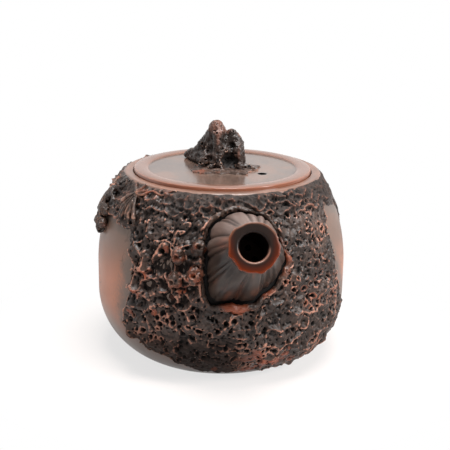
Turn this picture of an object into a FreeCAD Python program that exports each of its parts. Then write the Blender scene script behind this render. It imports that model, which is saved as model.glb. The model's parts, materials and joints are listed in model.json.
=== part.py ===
"""Clay teapot dressed as an old pine trunk: a paddled pot with applied bark, spout, ear handle and loose lid.

Frame: millimetres, +Z up, origin at the middle of the flat base.
The spout points along -Y, the handle along +Y.
"""

import FreeCAD, Part
import Sketcher
import math
import os

Vector = FreeCAD.Vector

# Driving dimensions: name, value in millimetres or degrees, meaning
DIMENSIONS = [
    ("belly_radius", 46.6, "outside of the wall at its widest"),
    ("belly_low", 24.0, "height where the upright belly band starts"),
    ("belly_high", 34.0, "height where the shoulder starts to close in"),
    ("foot_radius", 32.0, "outside of the wall where it meets the table"),
    ("rim_height", 68.5, "top of the mouth ring"),
    ("rim_radius", 36.0, "where the shoulder line reaches the rim height"),
    ("wall", 3.5, "thickness of the paddled wall"),
    ("base_thickness", 4.0, "floor disc let into the wall"),
    ("ring_height", 5.0, "mouth ring on top of the wall"),
    ("rim_round", 1.6, "rounding of the mouth ring's outer edge"),
    ("rim_band", 2.8, "rim from the lid's seat to its outer edge"),
    ("seat_ledge", 4.7, "ledge that carries the lid, inside its seat"),
    ("seat_depth", 2.0, "ledge below the rim"),
    ("lid_clearance", 0.3, "gap round the lid in its seat"),
    ("lid_thickness", 2.6, "lid from its underside to its sunk disc"),
    ("border_width", 5.4, "raised band along the lid's edge"),
    ("border_rise", 0.9, "crown of that band above the sunk disc"),
    ("vent_diameter", 3.0, "air hole in the lid"),
    ("vent_distance", 17.0, "air hole from the middle of the lid"),
    ("vent_angle", 50.0, "air hole, turned from the spout towards +X"),
    ("flange_clearance", 0.3, "gap between the lid's tongue and the mouth"),
    ("flange_wall", 2.6, "thickness of the lid's tongue"),
    ("flange_depth", 7.0, "tongue below the lid"),
    ("skirt_radius", 13.0, "bark scrap under the knob"),
    ("skirt_thickness", 0.9, "bark scrap under the knob"),
    ("knob_height", 17.6, "knob above the bark scrap"),
    ("knob_foot_radius", 8.2, "knob where it stands"),
    ("knob_waist_radius", 5.6, "knob at half its height"),
    ("knob_tip_radius", 3.2, "blunt top of the knob"),
    ("knob_lean", 2.4, "top of the knob, leaning sideways"),
    ("knob_turn", -9.0, "knob turned about the lid's axis"),
    ("stump_height", 13.2, "broken second stem of the knob"),
    ("stump_radius", 4.6, "broken second stem of the knob"),
    ("stump_offset", 4.6, "second stem from the knob's middle"),
    ("root_reach", 13.6, "long surface root of the knob"),
    ("root_radius", 3.4, "long surface root at the knob"),
    ("spout_overhang", 19.9, "middle of the spout's mouth beyond the belly"),
    ("spout_drop", 9.5, "middle of the spout's mouth below the rim"),
    ("spout_rise", 28.0, "slope of the spout"),
    ("spout_mouth_radius", 8.0, "outside of the spout's mouth"),
    ("spout_neck_radius", 7.7, "spout just behind its mouth"),
    ("spout_neck_length", 3.0, "spout just behind its mouth"),
    ("spout_root_radius", 17.2, "spout cone at its hidden end"),
    ("spout_length", 38.0, "spout cone from its mouth to its hidden end"),
    ("spout_flank", 70.0, "radius of the spout's hollow flank"),
    ("pour_radius", 4.7, "pouring bore at the mouth"),
    ("pour_length", 12.0, "straight stretch of the pouring bore"),
    ("pierce_radius", 7.5, "hole in the wall behind the spout"),
    ("pore_radius", 1.1, "strainer pores"),
    ("pore_pitch", 4.6, "strainer pores, from one to the next"),
    ("bark_thickness", 2.2, "applied bark"),
    ("bark_drop", 2.5, "upper edge of the bark below the rim"),
    ("bark_bottom", 4.0, "lower edge of the bark"),
    ("hollow_radius", 5.5, "ball that scoops the hollows of the bark"),
    ("hollow_depth", 1.3, "hollows of the bark"),
    ("bare_left_front", 24.5, "front edge of the -X panel, ahead of the axis"),
    ("bare_right_front", 32.0, "front edge of the +X panel, ahead of the axis"),
    ("bare_left_drop", 18.5, "upper edge of the -X panel below the rim"),
    ("bare_right_drop", 11.5, "upper edge of the +X panel below the rim"),
    ("bare_right_heel", 31.0, "lower front corner of the +X panel"),
    ("bare_right_toe", 4.0, "where the +X panel's lower edge runs out, behind the axis"),
    ("bare_neck", 4.0, "upper back corner of the panels, ahead of the axis"),
    ("bare_slant_height", 43.0, "where the panels' back edge starts to slope"),
    ("bare_back", 28.0, "lower back corner of the panels, behind the axis"),
    ("lip_gap", 0.9, "shadow gap round the spout"),
    ("lip_width", 3.0, "rolled bark lip round the spout"),
    ("lip_rise", 1.0, "lip above the bark"),
    ("handle_overhang", 28.4, "middle of the handle beyond the belly"),
    ("handle_middle", 37.0, "height of the handle's outermost point"),
    ("handle_top", 51.0, "upper root of the handle"),
    ("handle_bottom", 16.5, "lower root of the handle"),
    ("handle_sunk", 6.6, "where the handle's line ends inside the belly"),
    ("handle_radius", 4.5, "thickness of the handle, halved"),
    ("branch_azimuth", 80.0, "pine branch, turned from the spout towards -X"),
    ("branch_radius", 3.0, "pine branch"),
    ("branch_drop", 4.5, "upper end of the pine branch below the rim"),
    ("branch_fall", 14.5, "lower end of the pine branch below its upper end"),
    ("branch_stand", 1.4, "middle of the branch off the wall"),
    ("branch_burl_radius", 3.8, "swollen end of the pine branch"),
    ("needle_length", 15.0, "pine needles"),
    ("needle_root_radius", 1.2, "pine needles where they join"),
    ("needle_tip_radius", 0.6, "pine needles at their tips"),
    ("needle_drop", 6.0, "join of the needles below the rim"),
    ("burl_radius", 3.0, "clay burls on the bark"),
    ("burl_rise", 1.8, "clay burls above the bark"),
]

# Pine needle fans: name, turn from the spout towards -X, lean of each needle, all in degrees
NEEDLE_FANS = [
    ("pine_needles_front", 61.0, (-38, -22, -8, 6, 20, 34, 50, 68)),
    ("pine_needles_side", 88.0, (-12, 2, 16, 30, 44)),
    ("pine_needles_back", 120.0, (-36, -18, 0, 18, 36, 54)),
]

# Hollows of the bark: share of its height, turns from the spout towards -X in front and behind, in degrees
BARK_HOLLOWS = [
    (0.88, (36, -33, -48, -63, -78), (152, 166, -166, -152, -138, -124, -110, -96)),
    (0.70, (47, -32), (140, 155, -155, -141, -127, -113, -99)),
    (0.47, (24, 38, 52, -22, -35), (104, 118, 132, 146, 160, 174, -172, -158, -144, -130, -116, -102)),
    (0.29, (8, 22, 36, 50, -6, -20, -34, -48), (112, 126, 140, 154, 167, -167, -154, -140, -126, -112)),
    (0.13, (1, 15, 29, 43, -13, -27, -41, -55), (121, 135, 149, 163, -163, -149, -135, -121)),
]

# Burls on the bark: turn from the spout towards -X, drop below the spout's mouth
BURLS = [(26.0, 7.7), (33.0, 11.5), (26.5, 17.0), (34.5, 18.8)]

# Surface roots of the knob: name, turn in degrees, share of the long root's reach and of its thickness
KNOB_ROOTS = [
    ("root_left", 184.0, 1.0, 1.0),
    ("root_front", 262.0, 0.75, 1.1),
    ("root_right", 350.0, 0.85, 1.0),
    ("root_back", 75.0, 0.7, 1.1),
]
ROOT_SLOPE = 0.22
PORES_IN_RING = 6

doc = FreeCAD.newDocument("teapot")
sheet = doc.addObject("Spreadsheet::Sheet", "Dimensions")


class Size:
    """A length or angle that carries its number and the sheet formula behind it."""

    def __init__(self, number, formula):
        self.number = float(number)
        self.formula = formula

    def __add__(self, other):
        other = as_size(other)
        return Size(self.number + other.number, f"({self.formula} + {other.formula})")

    def __sub__(self, other):
        other = as_size(other)
        return Size(self.number - other.number, f"({self.formula} - {other.formula})")

    def __rsub__(self, other):
        return as_size(other) - self

    def __mul__(self, other):
        other = as_size(other)
        return Size(self.number * other.number, f"({self.formula} * {other.formula})")

    def __truediv__(self, other):
        other = as_size(other)
        return Size(self.number / other.number, f"({self.formula} / {other.formula})")

    def __neg__(self):
        return Size(-self.number, f"(-1 * {self.formula})")


def as_size(value):
    return value if isinstance(value, Size) else Size(value, f"{value:g}")


def square_root(size):
    return Size(math.sqrt(size.number), f"sqrt({size.formula})")


def fill_sheet():
    """Writes each driving dimension to its own named cell and returns them by name."""
    sizes = {}
    for row, (name, value, meaning) in enumerate(DIMENSIONS, start=1):
        sheet.set(f"A{row}", meaning)
        sheet.set(f"B{row}", f"{value:g}")
        sheet.setAlias(f"B{row}", name)
        sizes[name] = Size(value, f"Dimensions.{name}")
    doc.recompute()
    return sizes


d = fill_sheet()

# Lines of the pot, shared by every piece that lies on it
OPENING = d["belly_radius"] - d["foot_radius"]
FOOT_ARC = (OPENING * OPENING + d["belly_low"] * d["belly_low"]) / (OPENING * 2)
CLOSING = d["belly_radius"] - d["rim_radius"]
SHOULDER_RISE = d["rim_height"] - d["belly_high"]
SHOULDER_ARC = (SHOULDER_RISE * SHOULDER_RISE + CLOSING * CLOSING) / (CLOSING * 2)
RING_FOOT = d["rim_height"] - d["ring_height"]
SEAT = d["rim_height"] - d["seat_depth"]
SEAT_RADIUS = d["rim_radius"] - d["rim_band"]
LID_RADIUS = SEAT_RADIUS - d["lid_clearance"]
MOUTH_RADIUS = SEAT_RADIUS - d["seat_ledge"]
LID_FACE = SEAT + d["lid_thickness"]
KNOB_SEAT = LID_FACE + d["skirt_thickness"]
BASE_RADIUS = d["foot_radius"] - d["wall"]
SPOUT_REACH = d["belly_radius"] + d["spout_overhang"]
SPOUT_HEIGHT = d["rim_height"] - d["spout_drop"]
HANDLE_REACH = d["belly_radius"] + d["handle_overhang"]
BARK_TOP = d["rim_height"] - d["bark_drop"]
BRANCH_TOP = d["rim_height"] - d["branch_drop"]
BRANCH_BOTTOM = BRANCH_TOP - d["branch_fall"]


def shoulder_radius(height, stand_off=0.0):
    """Radius of the shoulder line at a height, moved outwards by stand_off."""
    rise = height - d["belly_high"]
    arc = SHOULDER_ARC + stand_off
    return d["belly_radius"] - SHOULDER_ARC + square_root(arc * arc - rise * rise)


def foot_radius(height, stand_off=0.0):
    """Radius of the foot line at a height, moved outwards by stand_off."""
    drop = d["belly_low"] - height
    arc = FOOT_ARC + stand_off
    return d["belly_radius"] - FOOT_ARC + square_root(arc * arc - drop * drop)


def new_body(name):
    body = doc.addObject("PartDesign::Body", name)
    body.Label = name
    return body


def new_sketch(body, name, role, lift=None):
    """A sketch on one of the body's origin planes, raised along the plane's normal by lift."""
    sketch = body.newObject("Sketcher::SketchObject", name)
    sketch.AttachmentSupport = [(next(f for f in body.Origin.OriginFeatures if f.Role == role), "")]
    sketch.MapMode = "FlatFace"
    if lift is not None:
        sketch.AttachmentOffset = FreeCAD.Placement(Vector(0, 0, lift.number), FreeCAD.Rotation())
        sketch.setExpression("AttachmentOffset.Base.z", lift.formula)
    return sketch


def bind_point(sketch, side, end, corner):
    """Holds one end of a side at a corner given by two sizes."""
    for kind, axis, size in zip(("DistanceX", "DistanceY"), (-2, -1), corner):
        size = as_size(size)
        if size.formula == "0":
            sketch.addConstraint(Sketcher.Constraint("PointOnObject", side, end, axis))
            continue
        index = sketch.addConstraint(Sketcher.Constraint(kind, -1, 1, side, end, size.number))
        sketch.setExpression(f"Constraints[{index}]", size.formula)


def arc_between(start, finish, radius):
    """Arc of under a half circle that bows by its radius to the right of the way from start to finish."""
    chord = finish - start
    sagitta = radius - math.sqrt(radius * radius - chord.Length * chord.Length / 4)
    right = Vector(chord.y, -chord.x, 0).normalize() * sagitta
    return Part.Arc(start, (start + finish) * 0.5 + right, finish)


def draw_chain(sketch, corners, bows=None):
    """Closes a loop of lines through the corners, with an arc on each side that bows gives a radius.

    A positive radius bows to the right of the way round the loop and a negative one to the left.
    """
    bows = bows or {}
    points = [Vector(as_size(x).number, as_size(y).number, 0) for x, y in corners]
    ends = []
    for i, start in enumerate(points):
        finish = points[(i + 1) % len(points)]
        bow = bows[i].number if i in bows else 0.0
        if bow > 0:
            side = sketch.addGeometry(arc_between(start, finish, bow))
        elif bow < 0:
            side = sketch.addGeometry(arc_between(finish, start, -bow))
        else:
            side = sketch.addGeometry(Part.LineSegment(start, finish))
        ends.append((side, 2, 1) if bow < 0 else (side, 1, 2))
    for i, (side, start_end, finish_end) in enumerate(ends):
        after = ends[(i + 1) % len(ends)]
        bind_point(sketch, side, start_end, corners[i])
        sketch.addConstraint(Sketcher.Constraint("Coincident", side, finish_end, after[0], after[1]))
    for i, bow in bows.items():
        size = bow if bow.number > 0 else -bow
        index = sketch.addConstraint(Sketcher.Constraint("Radius", ends[i][0], size.number))
        sketch.setExpression(f"Constraints[{index}]", size.formula)


def draw_circle(sketch, middle, radius):
    x, y = (as_size(value) for value in middle)
    side = sketch.addGeometry(Part.Circle(Vector(x.number, y.number, 0), Vector(0, 0, 1), radius.number))
    bind_point(sketch, side, 3, middle)
    index = sketch.addConstraint(Sketcher.Constraint("Radius", side, radius.number))
    sketch.setExpression(f"Constraints[{index}]", radius.formula)


def turned_body(name, corners, bows=None, plane="XZ_Plane", sweep=360.0):
    """A body turned about Z from an outline of radius and height."""
    body = new_body(name)
    sketch = new_sketch(body, f"{name}_outline", plane)
    draw_chain(sketch, corners, bows)
    turn = body.newObject("PartDesign::Revolution", f"{name}_turn")
    turn.Profile = sketch
    turn.ReferenceAxis = (sketch, ["V_Axis"])
    turn.Angle = sweep
    turn.Midplane = sweep < 360.0
    sketch.Visibility = False
    return body


def place(thing, x=None, y=None, z=None, axis=None, angle=None):
    """Sets a thing's placement and binds each coordinate, and the turn about one axis, to the sheet."""
    where = [as_size(value) if value is not None else None for value in (x, y, z)]
    base = Vector(*[size.number if size else 0.0 for size in where])
    turn = FreeCAD.Rotation(axis, angle.number) if axis else FreeCAD.Rotation()
    thing.Placement = FreeCAD.Placement(base, turn)
    for letter, size in zip("xyz", where):
        if size:
            thing.setExpression(f"Placement.Base.{letter}", size.formula)
    if axis:
        thing.setExpression("Placement.Rotation.Angle", angle.formula)


def place_on_spout(thing, along, right=0.0, up=0.0):
    """Puts a thing on the spout's line behind the mouth, its Z along the pour, shifted across the line."""
    slope = d["spout_rise"]
    cosine = Size(math.cos(math.radians(slope.number)), f"cos({slope.formula})")
    sine = Size(math.sin(math.radians(slope.number)), f"sin({slope.formula})")
    place(
        thing,
        right,
        -SPOUT_REACH + along * cosine + sine * up,
        SPOUT_HEIGHT - along * sine + cosine * up,
        Vector(1, 0, 0),
        90 - slope,
    )


def primitive(kind, name, **sizes):
    """A Part primitive whose properties are bound to sizes."""
    thing = doc.addObject(f"Part::{kind}", name)
    for key, size in sizes.items():
        size = as_size(size)
        setattr(thing, key, size.number)
        thing.setExpression(key, size.formula)
    return thing


def joined(name, things):
    fuse = doc.addObject("Part::MultiFuse", name)
    fuse.Shapes = things
    return fuse


def cut_away(name, base, tools):
    """The base less its tools, as one object."""
    cut = doc.addObject("Part::Cut", name)
    cut.Base = base
    cut.Tool = tools[0] if len(tools) == 1 else joined(f"{name}_tools", tools)
    cut.Label = name
    return cut


def shared_by(name, first, second):
    common = doc.addObject("Part::MultiCommon", name)
    common.Shapes = [first, second]
    common.Refine = False
    common.Label = name
    return common


def pot_core(name, stand_off):
    """The pot's outside, grown by stand_off, as one full solid that trims whatever is luted to it."""
    return turned_body(
        name,
        [
            (0, 0),
            (foot_radius(as_size(0), stand_off), 0),
            (d["belly_radius"] + stand_off, d["belly_low"]),
            (d["belly_radius"] + stand_off, d["belly_high"]),
            (shoulder_radius(d["rim_height"], stand_off), d["rim_height"]),
            (0, d["rim_height"]),
        ],
        {1: FOOT_ARC + stand_off, 3: SHOULDER_ARC + stand_off},
    )


def inner_line():
    """Corners and bows of the wall's inside, from the shoulder down to the floor."""
    floor = d["base_thickness"]
    inside = d["belly_radius"] - d["wall"]
    corners = [
        (shoulder_radius(RING_FOOT, -d["wall"]), RING_FOOT),
        (inside, d["belly_high"]),
        (inside, d["belly_low"]),
        (foot_radius(floor, -d["wall"]), floor),
    ]
    return corners, {0: -(SHOULDER_ARC - d["wall"]), 2: -(FOOT_ARC - d["wall"])}


def wall_blank():
    """The wall before it is pierced."""
    outside = [
        (BASE_RADIUS, 0),
        (d["foot_radius"], 0),
        (d["belly_radius"], d["belly_low"]),
        (d["belly_radius"], d["belly_high"]),
        (shoulder_radius(RING_FOOT), RING_FOOT),
    ]
    inside, inside_bows = inner_line()
    bows = {1: FOOT_ARC, 3: SHOULDER_ARC}
    bows.update({len(outside) + i: bow for i, bow in inside_bows.items()})
    return turned_body("wall_blank", [*outside, *inside, (BASE_RADIUS, d["base_thickness"])], bows)


def base_disc():
    body = new_body("base_disc")
    sketch = new_sketch(body, "base_disc_outline", "XY_Plane")
    draw_circle(sketch, (0, 0), BASE_RADIUS)
    pad = body.newObject("PartDesign::Pad", "base_disc_pad")
    pad.Profile = sketch
    pad.setExpression("Length", d["base_thickness"].formula)
    return body


def mouth_ring():
    edge_foot = d["rim_height"] - d["rim_round"]
    return turned_body(
        "mouth_ring",
        [
            (MOUTH_RADIUS, RING_FOOT),
            (shoulder_radius(RING_FOOT), RING_FOOT),
            (shoulder_radius(edge_foot), edge_foot),
            (d["rim_radius"] - d["rim_round"], d["rim_height"]),
            (SEAT_RADIUS, d["rim_height"]),
            (SEAT_RADIUS, SEAT),
            (MOUTH_RADIUS, SEAT),
        ],
        {1: SHOULDER_ARC, 2: d["rim_round"] * 1.8},
    )


def lid_plate():
    half = d["border_width"] / 2
    crown = (half * half + d["border_rise"] * d["border_rise"]) / (d["border_rise"] * 2)
    body = turned_body(
        "lid_plate",
        [
            (0, SEAT),
            (LID_RADIUS, SEAT),
            (LID_RADIUS, LID_FACE),
            (LID_RADIUS - d["border_width"], LID_FACE),
            (0, LID_FACE),
        ],
        {2: crown},
    )
    angle = d["vent_angle"]
    sine = Size(math.sin(math.radians(angle.number)), f"sin({angle.formula})")
    cosine = Size(math.cos(math.radians(angle.number)), f"cos({angle.formula})")
    sketch = new_sketch(body, "vent_outline", "XY_Plane", LID_FACE)
    draw_circle(sketch, (d["vent_distance"] * sine, -(d["vent_distance"] * cosine)), d["vent_diameter"] / 2)
    vent = body.newObject("PartDesign::Pocket", "vent_pocket")
    vent.Profile = sketch
    vent.setExpression("Length", d["lid_thickness"].formula)
    return body


def lid_flange():
    outside = MOUTH_RADIUS - d["flange_clearance"]
    inside = outside - d["flange_wall"]
    foot = SEAT - d["flange_depth"]
    return turned_body("lid_flange", [(inside, foot), (outside, foot), (outside, SEAT), (inside, SEAT)])


def knob_skirt():
    """Thin scrap of bark between lid and knob, with a scalloped edge."""
    body = new_body("knob_skirt")
    sketch = new_sketch(body, "knob_skirt_outline", "XY_Plane")
    scallops = 9
    reaches = (1.12, 0.92, 1.0, 0.9, 1.1, 1.0, 0.88, 1.14, 0.95)
    corners = []
    for i in range(scallops):
        turn = 2 * math.pi * i / scallops
        reach = d["skirt_radius"] * reaches[i]
        corners.append((reach * round(math.cos(turn), 4), reach * round(math.sin(turn), 4)))
    corners[0] = (d["skirt_radius"] * reaches[0], 0)
    draw_chain(sketch, corners, {i: d["skirt_radius"] * 0.55 for i in range(scallops)})
    pad = body.newObject("PartDesign::Pad", "knob_skirt_pad")
    pad.Profile = sketch
    pad.setExpression("Length", d["skirt_thickness"].formula)
    place(body, z=LID_FACE, axis=Vector(0, 0, 1), angle=d["knob_turn"])
    return body


def lofted_body(name, sections):
    """A body lofted through circles, each given by its height, middle and radius."""
    body = new_body(name)
    sketches = []
    for i, (height, middle, radius) in enumerate(sections):
        sketch = new_sketch(body, f"{name}_{i}", "XY_Plane", as_size(height))
        draw_circle(sketch, middle, radius)
        sketches.append(sketch)
    loft = body.newObject("PartDesign::AdditiveLoft", f"{name}_loft")
    loft.Profile = sketches[0]
    loft.Sections = sketches[1:]
    return body


def knob_root(name, turn, reach, thick):
    """A surface root: a cone from inside the knob down to the bark scrap."""
    root = primitive("Cone", name, Radius1=thick, Radius2=thick * 0.45, Height=reach)
    out = Vector(math.cos(math.radians(turn)), math.sin(math.radians(turn)), -ROOT_SLOPE)
    start = Vector(0, 0, thick.number + ROOT_SLOPE * reach.number * 0.6)
    root.Placement = FreeCAD.Placement(start, FreeCAD.Rotation(Vector(0, 0, 1), out))
    return root


def knob():
    """Gnarled knob: a leaning stem, a broken second stem and surface roots, cut flat where it stands."""
    tall, lean, foot = d["knob_height"], d["knob_lean"], d["knob_foot_radius"]
    sunk = d["root_radius"]
    stem = lofted_body(
        "knob_stem",
        [
            (-sunk, (0, 0), foot * 1.05),
            (tall * 0.25, (lean * 0.1, 0), foot * 0.5 + d["knob_waist_radius"] * 0.5),
            (tall * 0.55, (-lean * 0.3, 0), d["knob_waist_radius"]),
            (tall * 0.82, (-lean * 0.9, 0), d["knob_tip_radius"] * 1.25),
            (tall, (-lean, 0), d["knob_tip_radius"] * 0.8),
        ],
    )
    stump = lofted_body(
        "knob_stump",
        [
            (-sunk * 1.5, (d["stump_offset"], 0.7), d["stump_radius"] * 1.3),
            (d["stump_height"] * 0.6, (d["stump_offset"], 0.7), d["stump_radius"]),
            (d["stump_height"], (d["stump_offset"] * 0.9, 0.7), d["stump_radius"] * 0.6),
        ],
    )
    roots = [
        knob_root(name, turn, d["root_reach"] * reach, d["root_radius"] * thick)
        for name, turn, reach, thick in KNOB_ROOTS
    ]
    wide = d["root_reach"] * 4
    above = primitive("Box", "knob_room", Length=wide, Width=wide, Height=d["knob_height"] * 2)
    above.Placement.Base = Vector(-wide.number / 2, -wide.number / 2, 0)
    piece = shared_by("knob", joined("knob_whole", [stem, stump, *roots]), above)
    place(piece, z=KNOB_SEAT, axis=Vector(0, 0, 1), angle=d["knob_turn"])
    return piece


def spout(core):
    back = -d["spout_length"]
    blank = turned_body(
        "spout_blank",
        [
            (d["pour_radius"], 0),
            (d["pour_radius"], -d["pour_length"]),
            (d["pierce_radius"], back),
            (d["spout_root_radius"], back),
            (d["spout_neck_radius"], -d["spout_neck_length"]),
            (d["spout_mouth_radius"], 0),
        ],
        {3: -d["spout_flank"]},
    )
    place_on_spout(blank, as_size(0))
    return cut_away("spout", blank, [core])


def pour_drill():
    """Cylinder along the spout that pierces the wall."""
    drill = primitive("Cylinder", "pour_drill", Radius=d["pierce_radius"], Height=d["spout_length"] / 2)
    place_on_spout(drill, d["spout_length"])
    return drill


def spout_strainer(blank, drill):
    """Plug of the wall's own thickness in the pierced hole, with a ring of pores round a middle one."""
    turns = [2 * math.pi * i / PORES_IN_RING for i in range(PORES_IN_RING)]
    spots = [(0.0, 0.0), *((round(math.cos(turn), 4), round(math.sin(turn), 4)) for turn in turns)]
    pores = []
    for i, (right, up) in enumerate(spots):
        pore = primitive("Cylinder", f"pore_{i}", Radius=d["pore_radius"], Height=d["spout_length"] / 2)
        place_on_spout(pore, d["spout_length"], d["pore_pitch"] * right, d["pore_pitch"] * up)
        pores.append(pore)
    return cut_away("spout_strainer", shared_by("strainer_plug", drill, blank), pores)


def bark_blank(name, thickness, top, bottom, plane_sign):
    """Half a turn of clay of one thickness, lying on the pot's outside between two heights."""
    corners = [
        (foot_radius(bottom), bottom),
        (foot_radius(bottom, thickness), bottom),
        (d["belly_radius"] + thickness, d["belly_low"]),
        (d["belly_radius"] + thickness, d["belly_high"]),
        (shoulder_radius(top, thickness), top),
        (shoulder_radius(top), top),
        (d["belly_radius"], d["belly_high"]),
        (d["belly_radius"], d["belly_low"]),
    ]
    bows = {
        1: FOOT_ARC + thickness,
        3: SHOULDER_ARC + thickness,
        5: -SHOULDER_ARC,
        7: -FOOT_ARC,
    }
    if plane_sign < 0:
        corners = [(-radius, height) for radius, height in corners]
        bows = {side: -bow for side, bow in bows.items()}
    return turned_body(name, corners, bows, "YZ_Plane", 180.0)


def add_bare_panels(body):
    """Takes the bark off both flanks, where the trunk shows bare wood."""
    below = -d["base_thickness"]
    feet = {
        "left": [(-d["bare_left_front"], below)],
        "right": [(-d["bare_right_front"], d["bare_right_heel"]), (d["bare_right_toe"], below)],
    }
    for side, foot in feet.items():
        front = -d[f"bare_{side}_front"]
        top = d["rim_height"] - d[f"bare_{side}_drop"]
        sketch = new_sketch(body, f"{body.Name}_{side}", "YZ_Plane")
        corners = [
            *foot,
            (d["bare_back"], below),
            (-d["bare_neck"] * 0.5, d["bare_slant_height"]),
            (-d["bare_neck"], top),
            (front * 0.8, top),
            (front, d["bare_slant_height"]),
        ]
        draw_chain(sketch, corners)
        panel = body.newObject("PartDesign::Pocket", f"{body.Name}_{side}_panel")
        panel.Profile = sketch
        panel.Type = "ThroughAll"
        panel.Reversed = side == "right"


def lip_drill(name, radius):
    """Cylinder along the spout's line, from inside the wall to well outside the bark."""
    drill = primitive("Cylinder", name, Radius=radius, Height=d["spout_length"])
    place_on_spout(drill, d["spout_length"])
    return drill


def lip_radii():
    """Inner and outer radius of the bark lip, from the spout's width where it leaves the wall."""
    leaves = (SPOUT_REACH - d["belly_radius"]) / d["spout_length"]
    root = d["spout_neck_radius"] + (d["spout_root_radius"] - d["spout_neck_radius"]) * leaves * 1.14
    inner = root + d["lip_gap"]
    return inner, inner + d["lip_width"]


def off_wall(height, stand):
    """Radius and height of a point that stands off the wall, square to it, beside a height on the wall."""
    belly = d["belly_radius"].number
    if height < d["belly_low"].number:
        arc, level = FOOT_ARC.number, d["belly_low"].number
    elif height > d["belly_high"].number:
        arc, level = SHOULDER_ARC.number, d["belly_high"].number
    else:
        return belly + stand, height
    lean = math.asin((height - level) / arc)
    return belly - arc + (arc + stand) * math.cos(lean), level + (arc + stand) * math.sin(lean)


def bark_hollows(name, behind):
    """Balls that scoop the hollows out of the bark's front or back half."""
    stand = (d["bark_thickness"] + d["hollow_radius"] - d["hollow_depth"]).number
    balls = []
    for share, front_turns, back_turns in BARK_HOLLOWS:
        on_wall = d["bark_bottom"].number + share * (BARK_TOP - d["bark_bottom"]).number
        radius, height = off_wall(on_wall, stand)
        for turn in back_turns if behind else front_turns:
            ball = primitive("Sphere", f"{name}_{len(balls)}", Radius=d["hollow_radius"])
            ball.Placement = FreeCAD.Placement(turned_left(turn, radius, height), FreeCAD.Rotation())
            balls.append(ball)
    return balls


def bark_front():
    blank = bark_blank("bark_front_blank", d["bark_thickness"], BARK_TOP, d["bark_bottom"], -1)
    add_bare_panels(blank)
    drill = lip_drill("bark_front_drill", lip_radii()[1])
    return cut_away("bark_front", blank, [drill, *bark_hollows("front_hollow", False)])


def spout_bark_lip():
    inner, outer = lip_radii()
    blank = bark_blank("lip_blank", d["bark_thickness"] + d["lip_rise"], BARK_TOP, d["bark_bottom"], -1)
    ring = cut_away("lip_ring", lip_drill("lip_outer", outer), [lip_drill("lip_inner", inner)])
    return shared_by("spout_bark_lip", blank, ring)


def bark_back(handle_piece):
    blank = bark_blank("bark_back_blank", d["bark_thickness"], BARK_TOP, d["bark_bottom"], 1)
    add_bare_panels(blank)
    return cut_away("bark_back", blank, [handle_piece, *bark_hollows("back_hollow", True)])


def handle(core):
    """Ear handle: one round section led up and down from its outermost point into the wall."""
    body = new_body("handle_blank")
    section = new_sketch(body, "handle_section", "XY_Plane", d["handle_middle"])
    draw_circle(section, (0, HANDLE_REACH), d["handle_radius"])
    buried = d["belly_radius"] - d["handle_sunk"]
    for name, root in (("upper", d["handle_top"]), ("lower", d["handle_bottom"])):
        inward = HANDLE_REACH - buried
        climb = root - d["handle_middle"]
        bend = (inward * inward + climb * climb) / (inward * 2)
        path = new_sketch(body, f"handle_{name}_line", "YZ_Plane")
        ends = [(HANDLE_REACH, d["handle_middle"]), (buried, root)]
        draw_wide_arc(path, ends, bend, climb.number > 0)
        arm = body.newObject("PartDesign::AdditivePipe", f"handle_{name}")
        arm.Profile = section
        arm.Spine = path
    return cut_away("handle", body, [core])


def draw_wide_arc(sketch, ends, bend, upward):
    """Arc that leaves its first end upright, up or down, and ends at the second."""
    start, finish = (Vector(x.number, y.number, 0) for x, y in ends)
    middle = Vector(start.x - bend.number, start.y, 0)
    turn = math.atan2(finish.y - middle.y, finish.x - middle.x)
    halfway = middle + Vector(math.cos(turn / 2), math.sin(turn / 2), 0) * bend.number
    side = sketch.addGeometry(Part.Arc(start, halfway, finish))
    first, last = (1, 2) if upward else (2, 1)
    bind_point(sketch, side, first, ends[0])
    bind_point(sketch, side, last, ends[1])
    index = sketch.addConstraint(Sketcher.Constraint("Radius", side, bend.number))
    sketch.setExpression(f"Constraints[{index}]", bend.formula)


def turned_left(size_degrees, radius, height):
    """Point at a turn from the spout towards -X, as a vector."""
    turn = math.radians(size_degrees)
    return Vector(-radius * math.sin(turn), -radius * math.cos(turn), height)


def branch_line():
    """Middle of the branch's bend, its bend radius and its start and end angles above the belly's level."""
    bend = SHOULDER_ARC + d["branch_stand"]
    low = math.degrees(math.asin((BRANCH_BOTTOM - d["belly_high"]).number / bend.number))
    high = math.degrees(math.asin((BRANCH_TOP - d["belly_high"]).number / bend.number))
    return bend, low, high


def pine_branch(core, bark):
    """Branch that droops over the left shoulder and ends in a burl."""
    bend, low, high = branch_line()
    limb = primitive("Torus", "branch_limb", Radius1=bend, Radius2=d["branch_radius"], Angle3=high - low)
    outward = d["belly_radius"] - SHOULDER_ARC
    turn = d["branch_azimuth"].number
    upright = FreeCAD.Rotation(Vector(0, 0, 1), -90.0 - turn)
    upright = upright.multiply(FreeCAD.Rotation(Vector(1, 0, 0), 90.0))
    limb.Placement = FreeCAD.Placement(
        turned_left(turn, outward.number, d["belly_high"].number),
        upright.multiply(FreeCAD.Rotation(Vector(0, 0, 1), low)),
    )
    knots = [limb]
    for name, height, radius in (
        ("branch_burl", BRANCH_BOTTOM, d["branch_burl_radius"]),
        ("branch_shoot", BRANCH_TOP, d["branch_radius"]),
    ):
        knot = primitive("Sphere", name, Radius=radius)
        reach = shoulder_radius(height, d["branch_stand"]).number
        knot.Placement = FreeCAD.Placement(turned_left(turn, reach, height.number), FreeCAD.Rotation())
        knots.append(knot)
    return cut_away("pine_branch", joined("branch_whole", knots), [core, *bark])


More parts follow.
